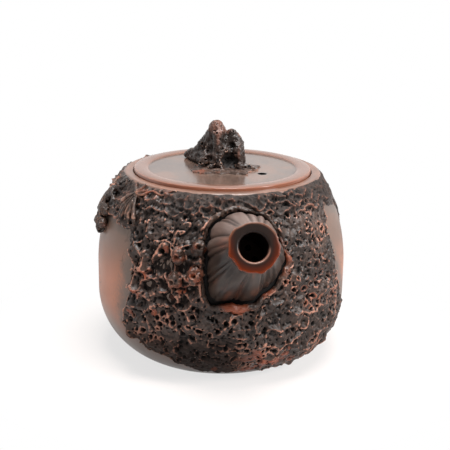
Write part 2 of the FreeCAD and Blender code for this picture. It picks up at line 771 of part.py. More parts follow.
def pine_needles(name, turn, leans, cutters):
    """A fan of tapered needles that lie on the bark, from their join outwards."""
    stand = d["bark_thickness"].number
    length = d["needle_length"].number
    height = (d["rim_height"] - d["needle_drop"]).number
    thick, thin = d["needle_root_radius"].number, d["needle_tip_radius"].number
    join = turned_left(turn, shoulder_radius(as_size(height), stand).number, height)
    fan = Part.makeSphere(thick * 1.5, join)
    for lean in leans:
        tip_height = height - length * math.cos(math.radians(lean))
        tip_radius = shoulder_radius(as_size(tip_height), stand).number
        tip_turn = turn + math.degrees(length * math.sin(math.radians(lean)) / tip_radius)
        tip = turned_left(tip_turn, tip_radius, tip_height)
        way = tip - join
        fan = fan.fuse(Part.makeCone(thick, thin, way.Length, join, way))
    feature = doc.addObject("Part::Feature", name)
    feature.Shape = fan.cut([cutter.Shape for cutter in cutters])
    feature.Label = name
    return feature


def bark_burls(barked_core):
    """Blunt clay burls pressed on the bark beside the spout."""
    burls = []
    for turn, drop in BURLS:
        height = SPOUT_HEIGHT.number - drop
        burl = primitive(
            "Cone",
            f"burl_{len(burls)}",
            Radius1=d["burl_radius"],
            Radius2=d["burl_radius"] * 0.6,
            Height=d["burl_rise"] + d["bark_thickness"],
        )
        reach = shoulder_radius(as_size(max(height, d["belly_high"].number))).number
        outward = FreeCAD.Rotation(Vector(0, 0, 1), turned_left(turn, 1.0, 0.0))
        burl.Placement = FreeCAD.Placement(turned_left(turn, reach, height), outward)
        burls.append(burl)
    return cut_away("bark_burls", joined("burls_whole", burls), [barked_core])


def check(pieces):
    """Stops before anything is written if an object failed or a piece isn't a sound solid."""
    for thing in doc.Objects:
        if "Invalid" in thing.State or "Error" in thing.State:
            raise RuntimeError(f"{thing.Name} failed: {thing.getStatusString()}")
    for piece in pieces:
        if piece.Shape.isNull() or not piece.Shape.isValid() or not piece.Shape.Solids:
            raise RuntimeError(f"{piece.Label} is not a sound solid")


def main():
    core = pot_core("pot_core", as_size(0))
    barked_core = pot_core("barked_core", d["bark_thickness"])
    blank = wall_blank()
    drill = pour_drill()
    handle_piece = handle(core)
    front, back = bark_front(), bark_back(handle_piece)
    branch = pine_branch(core, [front, back])
    pieces = [
        cut_away("body_wall", blank, [drill]),
        base_disc(),
        mouth_ring(),
        spout(core),
        spout_strainer(blank, drill),
        handle_piece,
        front,
        back,
        spout_bark_lip(),
        bark_burls(barked_core),
        branch,
        lid_plate(),
        lid_flange(),
        knob_skirt(),
        knob(),
    ]
    doc.recompute()
    check(pieces)
    trim = [barked_core, branch]
    pieces += [pine_needles(name, turn, leans, trim) for name, turn, leans in NEEDLE_FANS]
    check(pieces)
    os.makedirs("parts", exist_ok=True)
    for piece in pieces:
        piece.Shape.exportStep(f"parts/{piece.Label}.step")
        solids = piece.Shape.Solids
        print(f"{piece.Label}: {len(solids)} solid(s), {piece.Shape.Volume / 1000:.2f} cm3")


main()
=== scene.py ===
"""Looks of a small clay teapot modelled as an old pine trunk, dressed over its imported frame.

Metres, +Z up, the spout towards -Y. Shapes are worked out in millimetres and placed in metres.
Azimuth is counted in degrees from the spout, positive towards +X.
"""

import itertools
import json
import math
from types import SimpleNamespace

import bmesh
import bpy
import numpy as np
from mathutils import Matrix, Vector


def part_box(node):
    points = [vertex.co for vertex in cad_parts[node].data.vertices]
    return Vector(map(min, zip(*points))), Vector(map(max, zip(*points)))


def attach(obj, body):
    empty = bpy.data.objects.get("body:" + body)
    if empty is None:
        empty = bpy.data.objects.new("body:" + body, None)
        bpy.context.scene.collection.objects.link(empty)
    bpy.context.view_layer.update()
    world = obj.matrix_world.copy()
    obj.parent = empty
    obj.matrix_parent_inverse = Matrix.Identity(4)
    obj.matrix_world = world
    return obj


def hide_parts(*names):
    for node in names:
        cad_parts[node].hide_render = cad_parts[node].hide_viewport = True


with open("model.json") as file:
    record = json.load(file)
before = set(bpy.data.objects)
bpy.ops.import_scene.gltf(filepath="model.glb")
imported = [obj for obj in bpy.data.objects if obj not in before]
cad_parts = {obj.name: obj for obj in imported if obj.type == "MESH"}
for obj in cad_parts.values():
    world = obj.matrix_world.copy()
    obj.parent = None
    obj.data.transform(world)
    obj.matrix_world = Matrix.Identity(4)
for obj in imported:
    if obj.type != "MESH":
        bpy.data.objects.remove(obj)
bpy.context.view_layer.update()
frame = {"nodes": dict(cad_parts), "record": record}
MM = 0.001

# Welding distance in metres, a distance in millimetres past all others, and the turn of a sharp corner
WELD = 1e-7
FAR = 1e9
SHARP_CORNER = math.radians(35)

# Stretch of the noise on upright wood, and the level of a bowl that leaves the bark's height as it is
UPRIGHT_GRAIN = (1.0, 1.0, 0.45)
BOWL_LEVEL = 0.6

# The pot's outline in millimetres: what the frame gives, and the radii and heights between
BELLY_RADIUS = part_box("body_wall")[1].x / MM
RING_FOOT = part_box("mouth_ring")[0].z / MM
RIM_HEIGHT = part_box("mouth_ring")[1].z / MM
FLOOR_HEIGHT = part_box("base_disc")[1].z / MM
LID_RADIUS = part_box("lid_plate")[1].x / MM
LID_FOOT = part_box("lid_plate")[0].z / MM
LID_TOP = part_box("lid_plate")[1].z / MM
LID_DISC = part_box("knob_skirt")[0].z / MM
FLANGE_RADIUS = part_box("lid_flange")[1].x / MM
WALL = 3.5
LID_PLAY = 0.3
RIM_BAND = 2.8
FOOT_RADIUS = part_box("base_disc")[1].x / MM + WALL
RIM_RADIUS = LID_RADIUS + LID_PLAY + RIM_BAND
BELLY_LOW = 24.0
BELLY_HIGH = 34.0
FOOT_ARC = ((BELLY_RADIUS - FOOT_RADIUS) ** 2 + BELLY_LOW**2) / (2 * (BELLY_RADIUS - FOOT_RADIUS))
SHOULDER_RISE = RIM_HEIGHT - BELLY_HIGH
SHOULDER_ARC = (SHOULDER_RISE**2 + (BELLY_RADIUS - RIM_RADIUS) ** 2) / (2 * (BELLY_RADIUS - RIM_RADIUS))
FOOT_SWEEP = math.asin(BELLY_LOW / FOOT_ARC)
FOOT_LENGTH = FOOT_ARC * FOOT_SWEEP
BAND_LENGTH = BELLY_HIGH - BELLY_LOW
GIRTH = 2 * math.pi * BELLY_RADIUS

# The spout's line, its length back to the wall, and how much longer it is below and shorter above
SPOUT = next(mount for mount in frame["record"]["mounts"] if mount["name"] == "spout_bore")
SPOUT_MOUTH = np.array(SPOUT["pos_m"]) / MM
SPOUT_AXIS = np.array(SPOUT["axis"])
SPOUT_RIGHT = np.array((1.0, 0.0, 0.0))
SPOUT_UP = np.cross(SPOUT_RIGHT, -SPOUT_AXIS)
POUR_RADIUS = SPOUT["dims"]["r_mm"]
SPOUT_LENGTH = 24.8
SPOUT_SLANT = 4.6
FLUTES = 20

# The air hole's place and radius, and the azimuth of the camera
VENT = np.array((13.02, -10.93))
VENT_RADIUS = 1.6
CAMERA_AZIMUTH = -9.0

# Bare panels as azimuth and height of their corners
LEFT_PANEL = [
    (-56, 53), (-53, 49), (-52, 43), (-52.5, 32), (-55, 26), (-56, 20), (-50, 15), (-42, 11), (-32, 7),
    (-22, 3.5), (-22, -12), (-132, -12), (-122, 12), (-113, 36), (-107, 50), (-98, 55), (-80, 54),
]
RIGHT_PANEL = [
    (50, 57), (49, 51), (51, 43), (56, 34), (59.5, 29), (65, 24), (75, 14), (88, 3), (98, -12),
    (127, -12), (118, 12), (105, 32), (95, 40), (86, 46), (78, 53), (70, 58), (52, 60),
]
BARK_TOP = 69.0
BARK_BOTTOM = 2.6
BARK_THICKNESS = 1.5
BARK_SINK = -0.7
BARK_QUARTER = 90

# Edge of the bark round the spout: turn about the spout's line in degrees, from +X upwards, and radius
OPENING = [
    (18, 14.3), (45, 15.5), (90, 16.3), (135, 15.5), (155, 13.3), (175, 12.4), (195, 13.1), (213, 14.8),
    (234, 17.4), (256, 13.8), (287, 14.7), (300, 13.1), (322, 13.4), (342, 14.8), (358, 15.1),
]

# Deep hollows and lumps of the bark: azimuth, height, radius and rise in millimetres
SWELLINGS = [
    (-31, 43.5, 3.4, -1.7), (-23.5, 45, 2.4, -1.4), (-38, 37, 3.2, -1.4), (-22.5, 36, 2.4, -1.3),
    (-31, 33, 2.6, -1.2), (-35, 48, 2.6, 1.2), (-43, 43.5, 2.6, 1.3), (-41, 39.5, 2.0, 1.0),
    (-26, 37.5, 2.2, 1.0), (-47, 36, 2.4, 1.0), (-35, 30, 2.6, 0.8), (-48, 28, 2.4, 0.8),
    (-20, 30, 2.4, 0.7), (14, 24, 3.6, -0.7), (31, 18, 4.4, -0.6), (38, 25, 3.6, -0.6),
    (22, 13, 4.0, -0.5), (-8, 20, 3.4, -0.6), (-26, 20, 4.0, -0.7), (42, 33, 3.0, 0.5),
]

# Rusty patches of the bark: azimuth, height and radius
RUST_SPOTS = [
    (-41, 42, 1.9), (-33, 48, 1.4), (-24, 36.5, 1.7), (-29.5, 33, 1.5), (-45, 33, 1.6),
    (-37, 27, 1.4), (-50, 25, 1.5), (12, 9, 3.0), (20, 8, 2.2), (4, 6, 2.4),
    (24, 11, 1.8), (-12, 6, 2.0), (8, 14, 1.6), (30, 7, 1.6), (-2, 29, 1.8),
]

# Burls beside the spout: azimuth, height and radius
BURLS = [(-18.5, 51.0, 2.3), (-27.3, 48.4, 2.2), (-19.4, 42.0, 2.6), (-28.0, 40.3, 2.4)]

# Painted shade: the darkest for hollows, pits, pores, the wall round the spout's root, the spout's sunk end
# and the air hole's edge, and a lighter one for the bark's shaded places
SHADE = "#0a0706"
SOOT = "#140e0c"


# Steady noise over points in millimetres, each by the size of its lumps and a seed


def scatter(index, seed):
    """A steady random number from 0 to 1 for each row of whole numbers."""
    stirred = np.full(len(index), seed * 7919 + 17, np.uint64)
    for column in index.T:
        stirred = (stirred ^ column.astype(np.uint64)) * np.uint64(0x9E3779B97F4A7C15)
        stirred ^= stirred >> np.uint64(29)
    return (stirred >> np.uint64(40)).astype(float) / 2**24


def lattice(points, size, around):
    """Points in lattice steps, the steps' sizes, and their count if the first axis closes round the pot."""
    steps = np.full(points.shape[1], float(size))
    count = None
    if around:
        count = max(3, round(around / size))
        steps[0] = around / count
    return points / steps, steps, count


def wrapped(index, count):
    """Lattice rows with the first column closed round the pot."""
    if count:
        index = index.copy()
        index[:, 0] %= count
    return index


def eased(share):
    """A share from 0 to 1 that starts and ends softly."""
    return share * share * (3 - 2 * share)


def smooth_noise(points, size, seed, around=None):
    """Soft noise from -1 to 1."""
    spots, _, count = lattice(points, size, around)
    home = np.floor(spots).astype(np.int64)
    part = eased(spots - home)
    total = np.zeros(len(points))
    for step in itertools.product((0, 1), repeat=points.shape[1]):
        share = np.prod(np.where(step, part, 1 - part), axis=1)
        total += share * scatter(wrapped(home + step, count), seed)
    return total * 2 - 1


def layered_noise(points, size, seed, layers=3, around=None):
    """Noise with finer layers of half the size and half the strength."""
    return sum(smooth_noise(points, size / 2**i, seed + i, around) / 2**i for i in range(layers))


def cells(points, size, seed, around=None):
    """Distances to the two nearest scattered seeds, a steady chance for the nearest, and the way from it."""
    spots, steps, count = lattice(points, size, around)
    home = np.floor(spots).astype(np.int64)
    nearest = np.full(len(points), FAR)
    second = nearest.copy()
    chance = np.zeros(len(points))
    way = np.zeros_like(points)
    for step in itertools.product((-1, 0, 1), repeat=points.shape[1]):
        index = home + step
        key = wrapped(index, count)
        jitter = np.stack([scatter(key, seed + 31 * axis) for axis in range(points.shape[1])], axis=1)
        gap = (spots - index - 0.1 - 0.8 * jitter) * steps
        away = np.linalg.norm(gap, axis=1)
        closer = away < nearest
        second = np.where(closer, nearest, np.minimum(second, away))
        chance = np.where(closer, scatter(key, seed + 97), chance)
        way = np.where(closer[:, None], gap, way)
        nearest = np.minimum(nearest, away)
    return nearest, second, chance, way


def ramp(low, high, value):
    """Soft step from 0 at low to 1 at high."""
    return eased(np.clip((value - low) / (high - low), 0, 1))


def bump(value, middle, width):
    """Soft bell that is 1 in the middle."""
    return np.exp(-(((value - middle) / width) ** 2))


def ridge_lines(points, size, seed, narrow):
    """Winding lines that are 1 along their crests."""
    return np.clip(1 - narrow * np.abs(smooth_noise(points, size, seed)), 0, 1)


def bowls(points, size, seed, around=None):
    """Hollows scooped side by side, 0 in their middles and about 1 along the crests between them."""
    near, far, _, _ = cells(points, size, seed, around)
    return (near / (0.5 * size)) ** 2 * (0.6 + 0.8 * near / (near + far))


def craters(points, size, seed, narrow, wide, chosen, around=None):
    """Round pits and the raised rims round them, each from 0 to 1, for a chosen share of scattered seeds."""
    away, _, chance, _ = cells(points, size, seed, around)
    radius = narrow + (wide - narrow) * (chance * 7.13 % 1)
    strength = (chance < chosen) * (0.5 + 0.5 * (chance * 3.71 % 1))
    pit = ramp(radius * 1.02, radius * 0.62, away) * strength
    rim = bump(away, radius * 1.22, 0.2 + 0.1 * radius) * strength
    return pit, rim


# The pot's surface and the lie of the bark on it


def outline(along):
    """Radius, height and outward normal of the wall at a length along its outline from the table."""
    foot = np.clip(along, 0, FOOT_LENGTH) / FOOT_ARC - FOOT_SWEEP
    band = np.clip(along - FOOT_LENGTH, 0, BAND_LENGTH)
    turn = np.clip(along - FOOT_LENGTH - BAND_LENGTH, 0, None) / SHOULDER_ARC
    radius = BELLY_RADIUS - FOOT_ARC * (1 - np.cos(foot)) - SHOULDER_ARC * (1 - np.cos(turn))
    height = BELLY_LOW + FOOT_ARC * np.sin(foot) + band + SHOULDER_ARC * np.sin(turn)
    lean = foot + turn
    return radius, height, np.cos(lean), np.sin(lean)


def along_at(height):
    """Length along the outline at each height on the wall."""
    height = np.clip(height, 0, RIM_HEIGHT)
    foot = (np.arcsin(np.clip((height - BELLY_LOW) / FOOT_ARC, -1, 0)) + FOOT_SWEEP) * FOOT_ARC
    band = np.clip(height - BELLY_LOW, 0, BAND_LENGTH)
    return foot + band + np.arcsin(np.clip((height - BELLY_HIGH) / SHOULDER_ARC, 0, 1)) * SHOULDER_ARC


def on_pot(azimuth, along, stand):
    """Points in millimetres standing off the wall by stand."""
    radius, height, out, up = outline(along)
    reach = radius + out * stand
    turn = np.radians(azimuth)
    return np.stack([reach * np.sin(turn), -reach * np.cos(turn), height + up * stand], axis=1)


def pot_points(spots, stand):
    """Points standing off the wall at azimuths and heights."""
    spots = np.asarray(spots, float)
    return on_pot(spots[:, 0], along_at(spots[:, 1]), stand)


def azimuth_of(points):
    """Azimuth of each point."""
    return np.degrees(np.arctan2(points[:, 0], -points[:, 1]))


def unrolled(azimuth, along):
    """Places on the wall laid flat, in millimetres."""
    return np.stack([np.radians(azimuth) * BELLY_RADIUS, along], axis=1)


def spot_gap(flat, turn, level):
    """Distance of places laid flat from the spot at an azimuth and a height."""
    return np.hypot(flat[:, 0] - math.radians(turn) * BELLY_RADIUS, flat[:, 1] - along_at(level))


def panel_gap(azimuth, height, panel):
    """Distance in millimetres from a panel's border, positive outside it."""
    spot = unrolled(azimuth, height)
    corners = [np.array((math.radians(turn) * BELLY_RADIUS, level)) for turn, level in panel]
    gap = np.full(len(spot), FAR)
    inside = np.zeros(len(spot), bool)
    for start, finish in zip(corners, corners[1:] + corners[:1]):
        way = finish - start
        share = np.clip((spot - start) @ way / (way @ way), 0, 1)
        gap = np.minimum(gap, np.linalg.norm(spot - start - share[:, None] * way, axis=1))
        crosses = (start[1] > spot[:, 1]) != (finish[1] > spot[:, 1])
        edge = start[0] + (spot[:, 1] - start[1]) * way[0] / (way[1] if way[1] else 1 / FAR)
        inside ^= crosses & (spot[:, 0] < edge)
    return np.where(inside, -gap, gap)


def ring_points(radius, turn):
    """Places on a flat ring, for noise that closes round it."""
    return np.stack([radius * np.cos(turn), radius * np.sin(turn)], axis=1)


def across_spout(points):
    """Distance from the spout's line and the turn about it, from +X towards the top."""
    offset = points - SPOUT_MOUTH
    right, up = offset @ SPOUT_RIGHT, offset @ SPOUT_UP
    return np.hypot(right, up), np.arctan2(up, right)


def spout_spokes(turn):
    """Ways from the spout's line outwards."""
    return np.cos(turn)[:, None] * SPOUT_RIGHT + np.sin(turn)[:, None] * SPOUT_UP


def opening_radius(turn):
    """Ragged edge of the bark round the spout."""
    turns, radii = np.array(OPENING).T
    ragged = 0.25 * np.sin(7 * turn + 0.6) + 0.2 * np.sin(11 * turn + 2.2)
    return np.interp(np.degrees(turn), turns, radii, period=360) + ragged


def round_the_spout(turn, radius, stand):
    """Points about the spout at a distance from its line, standing off the wall."""
    across = radius[:, None] * spout_spokes(turn)
    farthest, halvings = 60.0, 40
    near, far = np.zeros(len(turn)), np.full(len(turn), farthest)
    for _ in range(halvings):
        middle = (near + far) / 2
        points = SPOUT_MOUTH + across - middle[:, None] * SPOUT_AXIS
        inside = np.hypot(points[:, 0], points[:, 1]) < outline(along_at(points[:, 2]))[0]
        near, far = np.where(inside, near, middle), np.where(inside, middle, far)
    return on_pot(azimuth_of(points), along_at(points[:, 2]), stand)


SPOUT_ALONG = float(along_at(round_the_spout(np.zeros(1), np.zeros(1), 0.0)[0, 2]))


def spout_flow(flat):
    """Distance from the spout and length round it, for ridges that sweep round the spout."""
    offset = flat - np.array((0.0, SPOUT_ALONG))
    sweep_radius = 9.0
    turn = np.arctan2(offset[:, 0], -offset[:, 1])
    return np.stack([np.hypot(offset[:, 0], offset[:, 1]), sweep_radius * turn], axis=1)


def bark_reach(azimuth, along):
    """How far inside the bark a spot lies, in millimetres, negative where the clay is bare."""
    points = on_pot(azimuth, along, 0.0)
    height = points[:, 2]
    spot = unrolled(azimuth, along)
    ragged = 1.2 * smooth_noise(spot, 4.2, 301, GIRTH) + 0.8 * smooth_noise(spot, 1.9, 302, GIRTH)
    away, turn = across_spout(points)
    round_spout = np.where(points[:, 1] < 0, away - opening_radius(turn), FAR)
    sides = np.minimum(panel_gap(azimuth, height, LEFT_PANEL), panel_gap(azimuth, height, RIGHT_PANEL))
    reach = np.minimum(sides + ragged, height - BARK_BOTTOM + 0.6 * ragged)
    reach = np.minimum(reach, BARK_TOP - height + 0.25 * ragged)
    return np.minimum(reach, round_spout)


def bark_zones(azimuth, height):
    """Shares from 0 to 1 of the regions in which the bark's texture differs."""
    left_end = ramp(-90, -70, azimuth)
    left = ramp(-9, -20, azimuth) * left_end * ramp(20, 32, height)
    return SimpleNamespace(
        left=left,
        lumpy=left * ramp(53, 47, height),
        low=ramp(28, 14, height),
        low_left=ramp(2, -14, azimuth) * left_end * ramp(30, 22, height),
        crown=ramp(58, 62, height),
        below=bump(azimuth, 0, 22) * ramp(33, 26, height) * ramp(5, 12, height),
        right_low=ramp(2, 14, azimuth) * ramp(36, 27, height),
        right_side=ramp(14, 20, azimuth) * ramp(26, 34, height) * ramp(58, 50, height),
        front=ramp(140, 105, np.abs(azimuth)),
    )


def bark_lumps(spot, bent, shiver, zone):
    """Height of the bark with its swellings, tilted scales and scooped hollows."""
    relief = BARK_THICKNESS + 0.5 * layered_noise(spot, 13, 21, 2, GIRTH)
    relief += 0.4 * smooth_noise(spot, 4.5, 24, GIRTH)
    for turn, level, radius, rise in SWELLINGS:
        relief += rise * np.exp(-((spot_gap(bent, turn, level) / radius) ** 4))
    scale_size = 5.2
    _, _, chance, way = cells(bent + 0.8 * shiver, scale_size, 41, GIRTH)
    lean = chance * 4.7 * math.pi
    scale = (way[:, 0] * np.cos(lean) + way[:, 1] * np.sin(lean)) / (scale_size / 2)
    tilt = (0.35 + 0.35 * zone.left - 0.35 * zone.lumpy) * (1 - 0.7 * zone.crown)
    relief += tilt * np.clip(scale, -1, 1)
    relief += 1.5 * zone.lumpy * (np.minimum(bowls(bent, 4.4, 46, GIRTH), 1.5) - BOWL_LEVEL)
    large = 0.4 + 0.5 * zone.right_low - 0.2 * zone.left - 0.3 * zone.crown
    relief += large * (bowls(bent, 4.6, 45, GIRTH) - BOWL_LEVEL)
    small = 0.12 + 0.08 * zone.right_low - 0.08 * zone.crown
    return relief + small * (bowls(bent, 2.2, 49, GIRTH) - BOWL_LEVEL)


def bark_pits(spot, shiver, zone):
    """Rise of the bark by its pits and their rims, and the shares of pits and of large pits' rims."""
    thick = ramp(-0.2, 0.35, smooth_noise(spot, 9, 53, GIRTH))
    pitted = 0.5 + 0.5 * thick + 0.4 * zone.low + 0.4 * zone.low_left
    pitted = np.clip(pitted + 0.4 * zone.right_side - 0.2 * zone.left - 0.2 * zone.crown, 0, 1)
    pit, rim = craters(spot + 0.5 * shiver, 3.1, 51, 0.45, 1.15, 0.68, GIRTH)
    small_pit, small_rim = craters(spot + 0.2 * shiver, 1.9, 61, 0.35, 0.6, 0.6, GIRTH)
    lone_pit, lone_rim = craters(spot, 6.0, 57, 0.8, 1.15, 0.6, GIRTH)
    raised = 0.04 + 0.3 * zone.right_side + 0.12 * zone.right_low + 0.2 * zone.low_left
    small_share = 0.3 + 0.5 * pitted
    rise = pitted * (raised * rim - 2.0 * pit)
    rise += small_share * ((0.05 + 0.12 * zone.low_left) * small_rim - 1.1 * small_pit)
    rise += (0.04 + 0.15 * zone.right_side) * lone_rim - 1.9 * lone_pit
    return rise, np.maximum.reduce([pitted * pit, small_share * small_pit, lone_pit]), pitted * rim


def bark_rust(azimuth, height, spot, bent):
    """Rusty patches and strokes of the bark from 0 to 1."""
    patchy = smooth_noise(spot, 6, 95, GIRTH) + 0.35 * smooth_noise(spot, 2, 96, GIRTH)
    stroke = smooth_noise(bent * (0.4, 1.3), 2.8, 98) + 0.3 * smooth_noise(spot, 1.5, 99)
    stroke = ramp(0.2, 0.5, stroke) * bump(azimuth, 12, 20) * ramp(17, 11, height)
    rusty = np.maximum(0.25 * ramp(0.15, 0.6, patchy), 0.9 * stroke)
    frayed = 0.45 * smooth_noise(spot, 1.6, 94, GIRTH)
    for turn, level, radius in RUST_SPOTS:
        rusty = np.maximum(rusty, ramp(1.2, 0.7, spot_gap(bent, turn, level) / radius + frayed))
    return rusty


def bark_kept(azimuth, height):
    """Share of its height that the bark keeps towards the rim, the foot, the right panel and the needles."""
    rim = 1 - 0.3 * ramp(62, 66.5, height) - 0.5 * ramp(66.5, 68.2, height)
    foot = 0.4 + 0.6 * ramp(2, 15, height)
    right = 1 - 0.75 * ramp(34, 72, azimuth) * ramp(140, 110, azimuth)
    front_fan = 0.5 * bump(azimuth, -64, 16) * ramp(52, 56, height)
    side_fans = 0.4 * bump(azimuth, -100, 18) * ramp(52, 58, height)
    return rim * foot * right * (1 - front_fan - side_fans)


def bark_relief(azimuth, along):
    """Height of the bark over the wall in millimetres, and from 0 to 1 how rusty and pitted it is and how
    much painted shade it gets.
    """
    reach = bark_reach(azimuth, along)
    height = outline(along)[1]
    zone = bark_zones(azimuth, height)
    spot = unrolled(azimuth, along)
    sway = np.stack([smooth_noise(spot, 7, seed, GIRTH) for seed in (11, 12)], axis=1)
    shiver = np.stack([smooth_noise(spot, 2.6, seed, GIRTH) for seed in (13, 14)], axis=1)
    bent = spot + 1.6 * sway + 0.5 * shiver
    flow = spout_flow(bent)
    ridge, fine_ridge = ridge_lines(flow, 2.5, 71, 1.25) ** 2, ridge_lines(flow, 1.3, 72, 1.3) ** 2
    scallop = bowls(bent * (0.9, 1.3), 2.9, 47)
    pit_rise, pits, rims = bark_pits(spot, shiver, zone)

    relief = bark_lumps(spot, bent, shiver, zone) + 0.85 * zone.crown * (scallop - BOWL_LEVEL)
    ridged = 0.3 + 0.3 * zone.left - 0.2 * zone.lumpy + 0.6 * zone.below - 0.3 * zone.crown
    relief += np.clip(ridged, 0, 1) * zone.front * (0.8 * ridge + 0.3 * fine_ridge - 0.4)
    relief += pit_rise + 0.3 * bump(reach, 1.3, 0.9)
    # Share of low relief, which gets painted shade
    deep = ramp(1.3, 0.3, relief)
    softness = 0.25
    relief = softness * np.logaddexp(0, relief * bark_kept(azimuth, height) / softness)
    relief += 0.1 * layered_noise(spot, 1.2, 91, 2, GIRTH) + 0.2 * zone.left * (fine_ridge - 0.4)
    relief += 0.22 * zone.left * (ridge_lines(flow, 0.75, 73, 1.4) - 0.5)
    raised = BARK_SINK + ramp(0.0, 1.2, reach) * (relief - BARK_SINK)

    right_rims = 0.9 * (zone.right_side + 0.6 * zone.right_low) * rims
    crown_crests = 0.5 * zone.crown * ramp(0.9, 1.3, scallop)
    rusty = np.maximum.reduce([bark_rust(azimuth, height, spot, bent), right_rims, crown_crests])
    # Painted shade: darker under the rim and the needle fan, towards the lower left, and in the low places of
    # the relief
    under_rim = 0.5 * ramp(57, 63, height) * ramp(-50, -30, azimuth)
    left_foot = 0.7 * ramp(14, -6, azimuth) * zone.low
    under_fan = 0.8 * bump(azimuth, -62, 9) * bump(height, 60, 6)
    sooty = np.maximum.reduce([under_rim + left_foot, under_fan, (0.2 + 0.65 * zone.left) * deep])
    return raised, rusty, sooty, pits


# Making pieces


def give(mesh, **values):
    """Stores one number per vertex under each name, for a material to read."""
    for name, numbers in values.items():
        layer = mesh.attributes.new(name, "FLOAT", "POINT")
        layer.data.foreach_set("value", np.asarray(numbers, np.float32))


def vertex_rows(mesh, name):
    """Vertex places in metres or normals of a mesh as rows."""
    flat = np.empty(len(mesh.vertices) * 3, np.float32)
    mesh.vertices.foreach_get(name, flat)
    return flat.reshape(-1, 3).astype(float)


def places(mesh):
    """Vertex places of a mesh in millimetres."""
    return vertex_rows(mesh, "co") / MM


def normals(mesh):
    """Outward ways of a mesh's vertices."""
    return vertex_rows(mesh, "normal")


def move_to(mesh, points):
    """Puts a mesh's vertices at points in millimetres."""
    mesh.vertices.foreach_set("co", (np.asarray(points) * MM).astype(np.float32).ravel())
    mesh.update()


def give_wear(mesh, depth, rounds=4, kept=None):
    """Stores how far each vertex stands above or below its smoothed surroundings, counted in depths."""
    edges = np.empty(len(mesh.edges) * 2, np.int32)
    mesh.edges.foreach_get("vertices", edges)
    edges = edges.reshape(-1, 2)
    if kept is not None:
        edges = edges[kept[edges].all(axis=1)]
    ends = np.concatenate([edges[:, 0], edges[:, 1]])
    others = np.concatenate([edges[:, 1], edges[:, 0]])
    points = places(mesh)
    count = np.bincount(ends, minlength=len(points))[:, None] + 1
    calm = points
    for _ in range(rounds):
        total = np.stack([np.bincount(ends, calm[others, axis], len(points)) for axis in range(3)], axis=1)
        calm = (calm + total) / count
    rise = ((points - calm) * normals(mesh)).sum(axis=1) / depth
    # The clay wears crests pale with a painted highlight and gives hollows painted shade
    give(mesh, crest=np.clip(rise, 0, 1.5), hollow=np.clip(-rise, 0, 1.5))


def mesh_from(bm, name):
    """Turns a working mesh into a stored one, with its faces outward."""
    bmesh.ops.recalc_face_normals(bm, faces=bm.faces)
    mesh = bpy.data.meshes.new(name)
    bm.to_mesh(mesh)
    bm.free()
    mesh.shade_smooth()
    return mesh


def turn_outward(mesh):
    """Turns the faces of a reshaped mesh outward again."""
    bm = bmesh.new()
    bm.from_mesh(mesh)
    bmesh.ops.recalc_face_normals(bm, faces=bm.faces)
    bm.to_mesh(mesh)
    bm.free()


def merged(meshes, name):
    """One mesh of several."""
    bm = bmesh.new()
    for mesh in meshes:
        bm.from_mesh(mesh)
        bpy.data.meshes.remove(mesh)
    return mesh_from(bm, name)


def shown(name, content):
    """A new object in the scene."""
    holder = bpy.data.objects.new(name, content)
    bpy.context.scene.collection.objects.link(holder)
    return holder


def finished(mesh, material, body, slot, *nodes):
    """Gives a mesh its material, makes a piece of it tied to its body, and hides the nodes it stands in for.
    The slot is not used.
    """
    mesh.materials.clear()
    mesh.materials.append(material)
    piece = shown(mesh.name, mesh)
    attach(piece, body)
    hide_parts(*nodes)


def changed(mesh, kind, **settings):
    """A new mesh from one modifier on the mesh."""
    name = mesh.name
    holder = shown(name, mesh)
    modifier = holder.modifiers.new(kind, kind)
    for setting, value in settings.items():
        setattr(modifier, setting, value)
    view = bpy.context.evaluated_depsgraph_get()
    result = bpy.data.meshes.new_from_object(holder.evaluated_get(view))
    bpy.data.objects.remove(holder)
    bpy.data.meshes.remove(mesh)
    result.name = name
    return result


def arc(middle, height, radius, start, finish, count):
    """Points of an arc between two turns in degrees, about a middle at a height."""
    turns = np.radians(np.linspace(start, finish, count))
    return [(middle + radius * math.cos(turn), height + radius * math.sin(turn)) for turn in turns]


def lathe(line, name, steps=256):
    """A closed shell round Z from a closed line of radius and height in millimetres, sharp at its corners."""
    line = [*line, line[0]]
    last = len(line) - 1
    bm = bmesh.new()
    bmesh.ops.create_grid(bm, x_segments=steps, y_segments=last, size=0.5)
    for vert in bm.verts:
        turn = 2 * math.pi * (vert.co.x + 0.5)
        radius, height = line[round((vert.co.y + 0.5) * last)]
        vert.co = (radius * math.cos(turn) * MM, radius * math.sin(turn) * MM, height * MM)
    bmesh.ops.remove_doubles(bm, verts=bm.verts, dist=WELD)
    bmesh.ops.dissolve_degenerate(bm, edges=bm.edges, dist=WELD / 10)
    bmesh.ops.recalc_face_normals(bm, faces=bm.faces)
    for edge in bm.edges:
        edge.smooth = edge.calc_face_angle(0.0) < SHARP_CORNER
    return mesh_from(bm, name)


